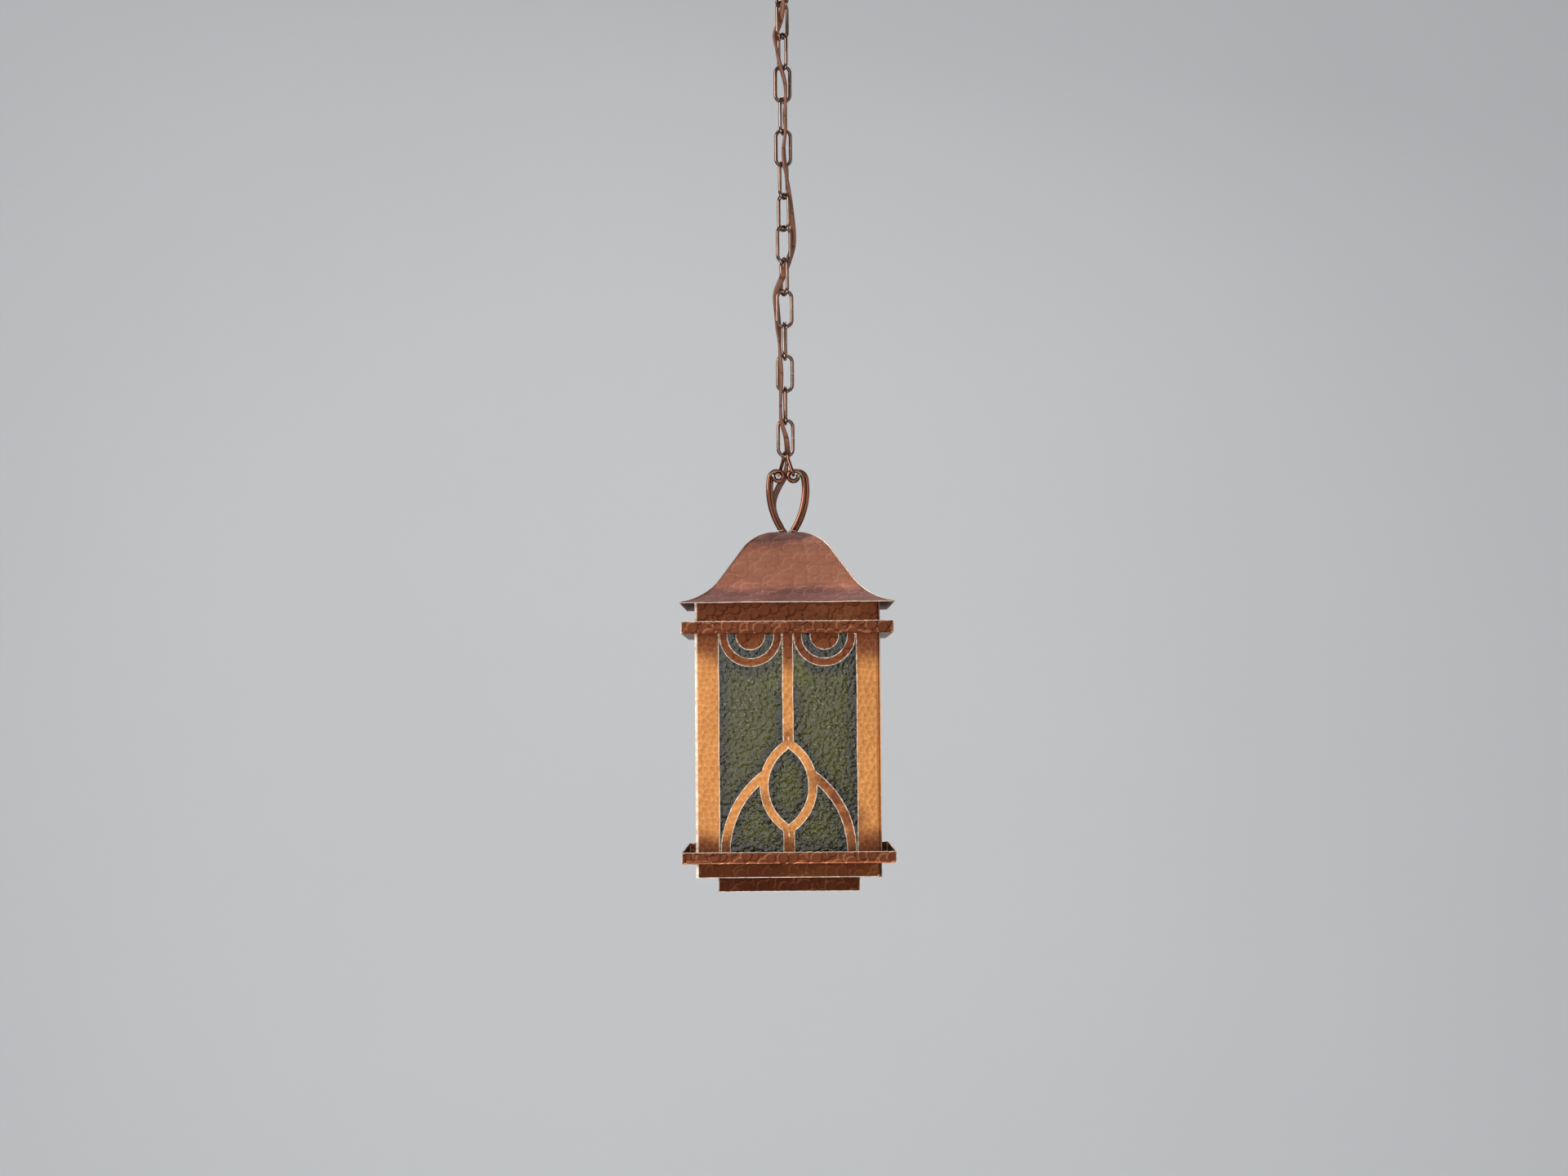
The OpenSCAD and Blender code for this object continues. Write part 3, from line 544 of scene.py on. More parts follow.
def shell(outer, inner, faces):
    """A closed sheet between an outer and an inner skin: points, faces and 1 at its rim."""
    count = len(outer)
    pairs = np.concatenate([faces[:, [0, 1]], faces[:, [1, 2]], faces[:, [2, 0]]])
    known = {tuple(pair) for pair in pairs.tolist()}
    rim = [(a, b) for a, b in known if (b, a) not in known]
    walls = [(a, a + count, b + count, b) for a, b in rim]
    skins = faces.tolist() + (faces[:, ::-1] + count).tolist()
    edge = np.zeros(2 * count)
    for a, b in rim:
        edge[[a, b, a + count, b + count]] = 1
    return np.concatenate([outer, inner]), skins + walls, edge


def join_shells(parts):
    """Several (points, faces, marks) as one."""
    points, faces, marks = [], [], {}
    start = 0
    for part_points, part_faces, part_marks in parts:
        points.append(part_points)
        faces += [tuple(i + start for i in face) for face in part_faces]
        start += len(part_points)
        for key, values in part_marks.items():
            marks.setdefault(key, []).append(values)
    return np.concatenate(points), faces, {k: np.concatenate(v) for k, v in marks.items()}


# Outlines that follow a profile round a square: the roof, the bands and the lowest tier


def profile_arc(centre, radius, start, end, outward=1):
    """Points of an arc in the w-h plane with their normals, from start to end in degrees."""
    count = max(2, int(abs(math.radians(end - start)) * radius / (0.5 * MM)))
    rows = []
    for i in range(count + 1):
        a = math.radians(start + (end - start) * i / count)
        rows.append((
            centre[0] + radius * math.cos(a), centre[1] + radius * math.sin(a),
            outward * math.cos(a), outward * math.sin(a),
        ))
    return rows


def measured(profile):
    """A profile's rows with the way along it in a last column."""
    rows = np.array(profile)
    run = np.concatenate([[0], np.cumsum(np.hypot(*np.diff(rows[:, :2], axis=0).T))])
    keep = np.concatenate([[True], np.diff(run) > 1e-9])
    return np.column_stack([rows, run])[keep]


def section(profile, way):
    """Place and unit normal on a profile at the given way along it: w, h, nw and nh."""
    w, h, nw, nh = (np.interp(way, profile[:, 4], profile[:, i]) for i in range(4))
    size = np.hypot(nw, nh)
    return w, h, nw / size, nh / size


def mitred_side(profile, gap, marks, seed, hole_r=0, drift=0.0, scallop=None):
    """One side of a square ring with the given profile: points, faces and marks.

    Scallop is the length and depth of the scallops, and which end of the profile has them.
    """
    hammer = settings("hammering")
    step = spacing(hammer.step)
    run = profile[:, 4]

    def half_width(way):
        return np.interp(way, run, profile[:, 0])

    def reach(way):
        return np.maximum(half_width(way) - gap, 0)

    def is_metal(u, v):
        w = half_width(v)
        inside = (np.abs(u) < reach(v)) & (v > run[0]) & (v < run[-1])
        return inside & (np.hypot(u, w) > hole_r)

    # The outline goes up one mitre, round the hole if there is one, and down the other
    ways = np.linspace(run[0], run[-1], max(2, int((run[-1] - run[0]) / step) + 1))
    if hole_r:
        ways = ways[half_width(ways) > hole_r / math.sqrt(2)]
    right = [(float(reach(way)), float(way)) for way in ways]
    left = [(-u, way) for u, way in reversed(right)]
    outline = Outline(step)
    if hole_r:
        hole = []
        for t in np.linspace(math.pi / 4, -math.pi / 4, 16):
            w = hole_r * math.cos(t)
            way = float(np.interp(-w, -profile[:, 0], run))
            hole.append((hole_r * math.sin(t), way))
        hole[0] = (hole_r / math.sqrt(2) - gap, hole[0][1])
        hole[-1] = (-hole[0][0], hole[0][1])
        outline.line(*right, *hole, *left, closed=True)
    else:
        outline.line(*right, *left, closed=True)
    widest = float(np.max(profile[:, 0]))
    flat, faces = cut_sheet(outline, (-widest, run[0]), (widest, run[-1]), is_metal)
    u, v = flat[:, 0], flat[:, 1]
    height, rim, glint = marks(u, v, seed)
    if drift:
        height = height + waver(np.column_stack([u, u * 0, v]), drift, 16 * MM, seed)
    if scallop:
        pitch, depth, free = scallop
        nibble = 1 - np.abs(np.sin(math.pi * (u / pitch + 0.3 * seed + 0.3 * np.sin(u / pitch))))
        share = ramp(np.abs(v - run[free]), 2.5 * MM, 0)
        v = v + depth * nibble * share * (1 if free == 0 else -1)
    w, h, nw, nh = section(profile, v)
    inner_w = w - nw * hammer.sheet
    squeeze = np.maximum(inner_w - gap, 0) / np.maximum(w - gap, 1e-6)
    outer = np.column_stack([u, -(w + nw * height), h + nh * height])
    inner = np.column_stack([
        u * np.minimum(squeeze, 1.2), -(inner_w + nw * height * 0.6),
        h - nh * hammer.sheet + nh * height * 0.6,
    ])
    points, solids, edge = shell(outer, inner, faces)
    # Rim holds painted shade and glint painted highlight; the finish also lightens the cut edges as
    # painted highlight
    looks = {"rim": np.tile(rim, 2), "ridge": np.tile(glint, 2), "cut": edge}
    return points, solids, looks


def square_ring(name, profile, gap, marks, seed, scallop=None, **look):
    """Four mitred sides joined as one mesh."""
    parts = []
    for quarter in range(4):
        points, faces, values = mitred_side(
            profile, gap, marks, seed + quarter, scallop=scallop
        )
        parts.append((turned(points, quarter), faces, values))
    mesh = make_mesh(name, *join_shells(parts))
    sharpen(mesh, 40)
    return add_object(name, mesh, "lantern", **look)


# Finishes


SMOOTH = "SMOOTHSTEP"
# Painted shade for the rims of the hammer marks
RIM_SHADE = (0.22, 0.17, 0.15, 1.0)
VERDIGRIS = (0.34, 0.37, 0.25, 1.0)
# Pale dots painted on the glass as glints
SEED_GLINT = (1.0, 1.0, 0.92, 1.0)


def link(tree, source, target):
    """Feeds a socket from another one, or sets it to a plain value."""
    if isinstance(source, bpy.types.NodeSocket):
        tree.links.new(source, target)
    else:
        target.default_value = source


def add_node(tree, kind, feeds=None, **values):
    """A node with its sockets or properties set by name, and then its sockets fed."""
    node = tree.nodes.new(kind)
    for key, value in values.items():
        label = key.replace("_", " ")
        if label in node.inputs:
            node.inputs[label].default_value = value
        else:
            setattr(node, key, value)
    for label, source in (feeds or {}).items():
        link(tree, source, node.inputs[label])
    return node


def calculate(tree, operation, *terms, clamp=False):
    """The result of a Math node on sockets or numbers."""
    node = add_node(tree, "ShaderNodeMath", operation=operation, use_clamp=clamp)
    for term, socket in zip(terms, node.inputs):
        link(tree, term, socket)
    return node.outputs[0]


def ranged(tree, value, low, high, to_low=0.0, to_high=1.0, curve="LINEAR"):
    """A value mapped from one range to another and held at its ends."""
    node = add_node(
        tree, "ShaderNodeMapRange", {"Value": value}, interpolation_type=curve,
        From_Min=low, From_Max=high, To_Min=to_low, To_Max=to_high,
    )
    return node.outputs["Result"]


def mixed(tree, share, first, second, blend_type="MIX"):
    """Two colours mixed by a share."""
    node = add_node(
        tree, "ShaderNodeMix", data_type="RGBA", blend_type=blend_type
    )
    for label, source in (("Factor", share), ("A", first), ("B", second)):
        link(tree, source, node.inputs[label])
    return node.outputs["Result"]


def mark_on(tree, name):
    """A mark on the piece's points."""
    return add_node(tree, "ShaderNodeAttribute", attribute_name=name).outputs["Fac"]


def object_place(tree):
    """The place on the piece, in metres."""
    return add_node(tree, "ShaderNodeTexCoord").outputs["Object"]


def noise(tree, scale, **values):
    """Clouds over the piece, from 0 to 1."""
    feeds = {"Vector": object_place(tree), "Scale": scale}
    return add_node(tree, "ShaderNodeTexNoise", feeds, **values).outputs["Fac"]


def effect(name, inputs, outputs):
    """An empty shader node group with named sockets: the group, its input and its output."""
    tree = bpy.data.node_groups.new(name, "ShaderNodeTree")
    for label, kind, value in inputs:
        socket = tree.interface.new_socket(label, in_out="INPUT", socket_type="NodeSocket" + kind)
        socket.default_value = value
    for label, kind in outputs:
        tree.interface.new_socket(label, in_out="OUTPUT", socket_type="NodeSocket" + kind)
    return tree, tree.nodes.new("NodeGroupInput"), tree.nodes.new("NodeGroupOutput")


def stain_effect():
    """Two colours of one stuff, mixed by cloudy stains on the piece."""
    tree, given, result = effect(
        "Stains",
        [("Clean", "Color", (0.7, 0.3, 0.1, 1)), ("Aged", "Color", (0.2, 0.08, 0.04, 1)),
         ("Scale", "Float", 30.0), ("Amount", "Float", 0.4), ("Extra", "Float", 0.0)],
        [("Colour", "Color"), ("Mask", "Float")],
    )
    clouds = noise(tree, given.outputs["Scale"], Detail=6.0, Roughness=0.62)
    stains = ranged(tree, clouds, 0.35, 0.75)
    stains = calculate(tree, "MULTIPLY", stains, given.outputs["Amount"])
    mask = calculate(tree, "ADD", stains, given.outputs["Extra"], clamp=True)
    colour = mixed(tree, mask, given.outputs["Clean"], given.outputs["Aged"])
    link(tree, colour, result.inputs["Colour"])
    link(tree, mask, result.inputs["Mask"])
    return tree


def wear_and_light_effect():
    """Dark rims of the hammer marks, rubbed ridges, bare cut edges and verdigris."""
    tree, given, result = effect(
        "Wear and painted light",
        [("Colour", "Color", (0.5, 0.2, 0.1, 1)), ("Ridge colour", "Color", (1, 1, 1, 1)),
         ("Ridge", "Float", 0.3), ("Rim", "Float", 0.5),
         ("Cut colour", "Color", (1, 0.8, 0.6, 1)), ("Cut", "Float", 0.7),
         ("Verdigris", "Float", 0.0)],
        [("Colour", "Color")],
    )
    patches = ranged(tree, noise(tree, 220.0, Detail=3.0), 0.36, 0.56, 0.5)
    colour = given.outputs["Colour"]
    # Rims are painted shade; ridges are polished copper with painted highlight; cut edges are bare
    # metal with painted highlight
    for key, low, power, blend_type, target, is_patchy in (
        ("rim", 0.0, 1.4, "MULTIPLY", RIM_SHADE, False),
        ("ridge", 0.15, 1.5, "MIX", given.outputs["Ridge colour"], False),
        ("cut", 0.2, 0.8, "MIX", given.outputs["Cut colour"], True),
        ("verdigris", 0.1, 1.0, "MIX", VERDIGRIS, True),
    ):
        share = ranged(tree, mark_on(tree, key), low, 0.95)
        share = calculate(tree, "POWER", share, power)
        share = calculate(tree, "MULTIPLY", share, given.outputs[key.capitalize()], clamp=True)
        if is_patchy:
            share = calculate(tree, "MULTIPLY", share, patches, clamp=True)
        colour = mixed(tree, share, colour, target, blend_type)
    link(tree, colour, result.inputs["Colour"])
    return tree


def grain_effect():
    """Fine pits and scratches of old metal or paint, as a normal."""
    tree, given, result = effect(
        "Fine grain",
        [("Scale", "Float", 900.0), ("Depth", "Float", 0.00004)], [("Normal", "Vector")],
    )
    pits = noise(tree, given.outputs["Scale"], Detail=4.0, Roughness=0.7)
    bump = add_node(
        tree, "ShaderNodeBump", {"Distance": given.outputs["Depth"], "Height": pits}, Strength=1.0
    )
    link(tree, bump.outputs["Normal"], result.inputs["Normal"])
    return tree


def shared(name, build):
    """A node group that is built once."""
    return bpy.data.node_groups.get(name) or build()


def rgba(value):
    """A colour with full alpha."""
    return (*value, 1.0)


def blank(name):
    """A material with nothing in it but a Principled surface."""
    material = bpy.data.materials.new(name)
    material.use_nodes = True
    return material, material.node_tree, material.node_tree.nodes["Principled BSDF"]


def add_group(tree, name, build, **values):
    """A shared effect with its own values or sources."""
    node = tree.nodes.new("ShaderNodeGroup")
    node.node_tree = shared(name, build)
    for key, value in values.items():
        link(tree, value, node.inputs[key.replace("_", " ")])
    return node


def stained(name, clean, aged, stain, scale, rough, duller, grain, depth, metal):
    """A material with stains, where it is duller, and a fine grain of the given scale and depth.

    Returns the material, its tree, its surface and its stains.
    """
    material, tree, surface = blank(name)
    stains = add_group(
        tree, "Stains", stain_effect, Clean=rgba(clean), Aged=rgba(aged), Scale=scale, Amount=stain
    )
    pits = add_group(tree, "Fine grain", grain_effect, Scale=grain, Depth=depth)
    dull = ranged(tree, stains.outputs["Mask"], 0, 1, rough, rough + duller)
    link(tree, pits.outputs["Normal"], surface.inputs["Normal"])
    link(tree, dull, surface.inputs["Roughness"])
    link(tree, metal, surface.inputs["Metallic"])
    return material, tree, surface, stains


def copper(name, colours, stain, scale, marks, rough, extra=None, depth=0.02 * MM):
    """Old copper: stains, hammer marks that show, bright cut edges and a fine grain.

    Colours are clean, aged and ridge. Marks is how much ridges, rims, cut edges and verdigris
    show. Ridges show less where the metal is stained, and extra adds stains of its own.
    """
    look = settings("finish")
    clean, aged, ridge = (getattr(look, key) for key in colours)
    material, tree, surface, stains = stained(
        name, clean, aged, stain, scale, rough, 0.16, 700.0, depth, 1.0
    )
    if extra:
        link(tree, extra(tree), stains.inputs["Extra"])
    rubbed_and_lit = ranged(tree, stains.outputs["Mask"], 0, 1, marks[0], 0.25 * marks[0])
    worn_and_lit = add_group(
        tree, "Wear and painted light", wear_and_light_effect, Colour=stains.outputs["Colour"], Ridge=rubbed_and_lit,
        Ridge_colour=rgba(ridge), Rim=marks[1], Cut_colour=rgba(look.cut), Cut=marks[2],
        Verdigris=marks[3],
    )
    link(tree, worn_and_lit.outputs["Colour"], surface.inputs["Base Color"])
    return material


def plain_metal(name, base, rough):
    """Sound metal with faint tarnish and grain."""
    aged = [c * 0.45 for c in base]
    material, tree, surface, stains = stained(
        name, base, aged, 0.5, 120.0, rough, 0.2, 1500.0, 0.02 * MM, 1.0
    )
    link(tree, stains.outputs["Colour"], surface.inputs["Base Color"])
    return material


def matt(name, base, shade, scale, rough, depth=0.03 * MM):
    """A coating, fibre or glaze with a slightly uneven colour."""
    material, tree, surface, stains = stained(
        name, base, shade, 0.6, scale, rough, 0.12, 1800.0, depth, 0.0
    )
    link(tree, stains.outputs["Colour"], surface.inputs["Base Color"])
    return material


def level_on(tree):
    """The height of a place on the piece."""
    return add_node(tree, "ShaderNodeSeparateXYZ", {"Vector": object_place(tree)}).outputs["Z"]


def end_shade_and_stains(tree):
    """Darker towards the top and bottom of the side panels, and where they have dark spots."""
    drift = ranged(tree, noise(tree, 38.0, Detail=3.0), 0, 1, -14 * MM, 14 * MM)
    level = calculate(tree, "ADD", level_on(tree), drift)
    above = ranged(tree, level, UPPER_LOW.z - 36 * MM, UPPER_LOW.z - 8 * MM, 0, 0.9, SMOOTH)
    below = ranged(tree, level, LOWER_HIGH.z + 26 * MM, LOWER_HIGH.z + 2 * MM, 0, 0.85, SMOOTH)
    ends = calculate(tree, "MAXIMUM", above, below)
    return calculate(tree, "MAXIMUM", ends, mark_on(tree, "stain"))


def eave_darkening(tree):
    """Darker along the flare above the eaves and round the crown."""
    level = level_on(tree)
    low = ranged(tree, level, EAVE_Z + 22 * MM, EAVE_Z + 5 * MM, 0, 0.9, SMOOTH)
    high = ranged(tree, level, CROWN_Z - 20 * MM, CROWN_Z - 3 * MM, 0, 0.9, SMOOTH)
    return calculate(tree, "MAXIMUM", low, high)


def pane_glass(name):
    """Hammered cathedral glass: ripples, seeds that glint, and darker along the metal.

    Lamps shine through it, so that what is behind it is lit.
    """
    look = settings("finish")
    material, tree, surface = blank(name)
    place = object_place(tree)
    ripples = noise(tree, 260.0, Detail=2.0, Distortion=0.6)
    clouds = noise(tree, 60.0, Detail=3.0)
    dents = add_node(
        tree, "ShaderNodeTexVoronoi", {"Vector": place}, feature="SMOOTH_F1", Scale=300.0
    )
    sparkle_cells = add_node(tree, "ShaderNodeTexVoronoi", {"Vector": place}, Scale=330.0)
    relief = calculate(tree, "MULTIPLY_ADD", dents.outputs["Distance"], 0.7, ripples)
    bump = add_node(
        tree, "ShaderNodeBump", {"Height": relief}, Strength=1.0, Distance=0.4 * MM
    )

    # Painted shadow of the metal along the edges, broken up by streaks, and random darker clouds
    streaks = ranged(tree, ripples, 0.42, 0.58, 0.1)
    dark = calculate(tree, "MULTIPLY", mark_on(tree, "shade"), streaks)
    cloudy = ranged(tree, clouds, 0.35, 0.75, 0, 0.35)
    darker = calculate(tree, "ADD", dark, cloudy, clamp=True)
    green = mixed(tree, darker, rgba(look.glass), rgba(look.glass_shadow_and_mottle))
    # Painted glints: pale dots in the colour, where the clouds drift
    dots = ranged(tree, sparkle_cells.outputs["Distance"], 0.34, 0.18)
    drifts = ranged(tree, clouds, 0.46, 0.58)
    sparkle_dots = calculate(tree, "MULTIPLY", dots, drifts, clamp=True)
    for label, source in (
        ("Base Color", mixed(tree, sparkle_dots, green, SEED_GLINT)),
        ("Normal", bump.outputs["Normal"]),
        ("Transmission Weight", 1.0), ("Roughness", 0.04), ("IOR", 1.5),
    ):
        link(tree, source, surface.inputs[label])

    through = add_node(tree, "ShaderNodeBsdfTransparent", Color=rgba(look.glass_lit))
    rays = add_node(tree, "ShaderNodeLightPath")
    either = add_node(tree, "ShaderNodeMixShader", {"Fac": rays.outputs["Is Shadow Ray"]})
    link(tree, surface.outputs["BSDF"], either.inputs[1])
    link(tree, through.outputs["BSDF"], either.inputs[2])
    link(tree, either.outputs["Shader"], tree.nodes["Material Output"].inputs["Surface"])
    return material


# How each finish is made and what it is made with
FINISHES = {
    "panel_copper": (
        copper, ("bright", "bright_aged", "ridge"), 0.3, 24.0, (0.5, 0.75, 0.95, 0), 0.36, end_shade_and_stains
    ),
    "roof_copper": (
        copper, ("roof", "roof_aged", "roof_glint"), 0.5, 26.0, (0.45, 0.2, 0.4, 0), 0.42, eave_darkening
    ),
    "band_copper": (
        copper, ("band", "band_aged", "band_glint"), 0.6, 24.0, (0.55, 0.8, 0.9, 0), 0.36
    ),
    "link_copper": (
        copper, ("link", "link_aged", "ridge"), 0.6, 60.0, (0, 0, 0.9, 1), 0.1, None, 0.004 * MM
    ),
    "wire_copper": (
        copper, ("wire", "wire_aged", "ridge"), 0.5, 45.0, (0, 0, 0.9, 1), 0.1, None, 0.004 * MM
    ),
    "pane_glass": (pane_glass,),
    "brass": (plain_metal, (0.60, 0.43, 0.17), 0.3),
    "zinc": (plain_metal, (0.55, 0.55, 0.54), 0.38),
    "solder": (plain_metal, (0.55, 0.34, 0.25), 0.42),
    "bare_solder": (plain_metal, (0.85, 0.72, 0.58), 0.36),
    "cord": (matt, (0.20, 0.075, 0.035), (0.09, 0.03, 0.016), 60.0, 0.42),
    "sleeve": (matt, (0.95, 0.90, 0.66), (0.80, 0.72, 0.46), 90.0, 0.6),
    "glaze": (matt, (0.82, 0.81, 0.76), (0.7, 0.68, 0.6), 50.0, 0.15, 0.0),
}


def finish(name):
    """A finish by name, made when it is first asked for."""
    build, *values = FINISHES[name]
    return bpy.data.materials.get(name) or build(name, *values)


def paint(nodes, name):
    """Gives solid nodes that stay in view their finish."""
    for node in nodes:
        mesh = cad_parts[node].data
        mesh.materials.clear()
        mesh.materials.append(finish(name))


# Geometry node trees for wire

WIRE_SIDES = 16
LINK_POINTS = 56


def geometry_tree(name, inputs):
    """An empty geometry tree with named inputs: the tree, its input and its output."""
    tree = bpy.data.node_groups.new(name, "GeometryNodeTree")
    tree.interface.new_socket("Geometry", in_out="INPUT", socket_type="NodeSocketGeometry")
    for label, kind, value in inputs:
        socket = tree.interface.new_socket(label, in_out="INPUT", socket_type="NodeSocket" + kind)
        if value is not None:
            socket.default_value = value
    tree.interface.new_socket("Geometry", in_out="OUTPUT", socket_type="NodeSocketGeometry")
    return tree, tree.nodes.new("NodeGroupInput"), tree.nodes.new("NodeGroupOutput")


def wire_from_curve(tree, curve, given, result):
    """Ends a tree: round wire along the curve, with closed ends and its finish."""
    half = calculate(tree, "MULTIPLY", given.outputs["Wire"], 0.5)
    ring = add_node(
        tree, "GeometryNodeCurvePrimitiveCircle", {"Radius": half}, Resolution=WIRE_SIDES
    )
    sweep = add_node(
        tree, "GeometryNodeCurveToMesh",
        {"Curve": curve, "Profile Curve": ring.outputs["Curve"]}, Fill_Caps=True,
    )
    smooth = add_node(tree, "GeometryNodeSetShadeSmooth", {"Geometry": sweep.outputs["Mesh"]})
    real = add_node(
        tree, "GeometryNodeRealizeInstances", {"Geometry": smooth.outputs["Geometry"]}
    )
    dressed = add_node(
        tree, "GeometryNodeSetMaterial",
        {"Geometry": real.outputs["Geometry"], "Material": given.outputs["Material"]},
    )
    link(tree, dressed.outputs["Geometry"], result.inputs["Geometry"])


def bent_wire_tree():
    """Round wire along the edges of the mesh that carries the tree."""
    tree, given, result = geometry_tree(
        "Bent wire", [("Wire", "Float", 0.003), ("Material", "Material", None)]
    )
    curve = add_node(tree, "GeometryNodeMeshToCurve", {"Mesh": given.outputs["Geometry"]})
    wire_from_curve(tree, curve.outputs["Curve"], given, result)
    return tree


def oval_link_tree():
    """One oval link with an open butt joint, turned and put in its place."""
    tree, given, result = geometry_tree(
        "Oval link",
        [("Width", "Float", 0.0124), ("Straight", "Float", 0.0185), ("Wire", "Float", 0.003),
         ("Butt", "Float", 0.0004), ("Yaw", "Float", 0.0), ("Centre", "Vector", (0, 0, 0)),
         ("Material", "Material", None)],
    )
    half_width = calculate(tree, "MULTIPLY", given.outputs["Width"], 0.5)
    ring = add_node(
        tree, "GeometryNodeCurveArc", {"Radius": half_width}, Resolution=LINK_POINTS,
        Start_Angle=0.0, Sweep_Angle=math.tau,
    )
    place = add_node(tree, "GeometryNodeInputPosition")
    parts = add_node(tree, "ShaderNodeSeparateXYZ", {"Vector": place.outputs["Position"]})
    side = calculate(tree, "SIGN", parts.outputs["Y"])
    shift = calculate(tree, "MULTIPLY", side, given.outputs["Straight"])
    index = add_node(tree, "GeometryNodeInputIndex")
    below = calculate(tree, "MULTIPLY", given.outputs["Butt"], -1.0)
    for number, end in ((LINK_POINTS - 1, below), (0, given.outputs["Butt"])):
        is_end = add_node(tree, "FunctionNodeCompare", data_type="INT", operation="EQUAL")
        link(tree, index.outputs["Index"], is_end.inputs[2])
        link(tree, number, is_end.inputs[3])
        chosen = add_node(
            tree, "GeometryNodeSwitch",
            {"Switch": is_end.outputs["Result"], "False": shift, "True": end}, input_type="FLOAT",
        )
        shift = chosen.outputs["Output"]
    shift = calculate(tree, "MULTIPLY", shift, 0.5)
    offset = add_node(tree, "ShaderNodeCombineXYZ", {"Y": shift})
    stretched = add_node(
        tree, "GeometryNodeSetPosition",
        {"Geometry": ring.outputs["Curve"], "Offset": offset.outputs["Vector"]},
    )
    upright = add_node(
        tree, "GeometryNodeTransform", {"Geometry": stretched.outputs["Geometry"]},
        Rotation=(math.pi / 2, 0, 0),
    )
    yaw = add_node(tree, "ShaderNodeCombineXYZ", {"Z": given.outputs["Yaw"]})
    placed = add_node(
        tree, "GeometryNodeTransform",
        {"Geometry": upright.outputs["Geometry"], "Rotation": yaw.outputs["Vector"],
         "Translation": given.outputs["Centre"]},
    )
    wire_from_curve(tree, placed.outputs["Geometry"], given, result)
    return tree


def grown(name, mesh, tree, values):
    """The plain mesh that a geometry tree makes on an object with the given inputs."""
    host = bpy.data.objects.new(name, mesh)
    bpy.context.scene.collection.objects.link(host)
    modifier = host.modifiers.new("Shape", "NODES")
    modifier.node_group = tree
    for item in tree.interface.items_tree:
        if item.in_out == "INPUT" and item.name in values:
            modifier[item.identifier] = values[item.name]
    bpy.context.view_layer.update()
    graph = bpy.context.evaluated_depsgraph_get()
    result = bpy.data.meshes.new_from_object(host.evaluated_get(graph))
    bpy.data.objects.remove(host)
    result.name = name
    return result


def bent_wire(name, path, wire, body, replaces, verdigris=()):
    """A piece of round wire along a path, which replaces its solid.

    Verdigris sits round the given (place, reach) spots.
    """
    line = bpy.data.meshes.new(name)
    line.from_pydata([tuple(p) for p in path], [(i, i + 1) for i in range(len(path) - 1)], [])
    tree = shared("Bent wire", bent_wire_tree)
    mesh = grown(name, line, tree, {"Wire": wire, "Material": finish("wire_copper")})
    green = [
        max((1.3 - (point.co - place).length / reach for place, reach in verdigris), default=0)
        for point in mesh.vertices
    ]
    crust = mesh.attributes.new("verdigris", "FLOAT", "POINT")
    crust.data.foreach_set("value", np.clip(green, 0, 1).astype(np.float32))
    return add_object(name, mesh, body, "dark_copper_wire", replaces=replaces)


def arc_points(centre, radius, start, end, count):
    """Points along an arc in a plane, in degrees."""
    turns = np.radians(np.linspace(start, end, count + 1))
    return [(centre[0] + radius * math.cos(a), centre[1] + radius * math.sin(a)) for a in turns]


def bend_points(a, b, c, radius, count):
    """Points round the bend at corner b, on the way from a to c."""
    ahead = (b - a).normalized()
    onward = (c - b).normalized()
    turn = math.acos(ahead.dot(onward))
    inward = (onward - math.cos(turn) * ahead).normalized()
    centre = b - radius * math.tan(turn / 2) * ahead + radius * inward
    return [
        centre - radius * math.cos(turn * i / count) * inward
        + radius * math.sin(turn * i / count) * ahead
        for i in range(count + 1)
    ]


# Pieces


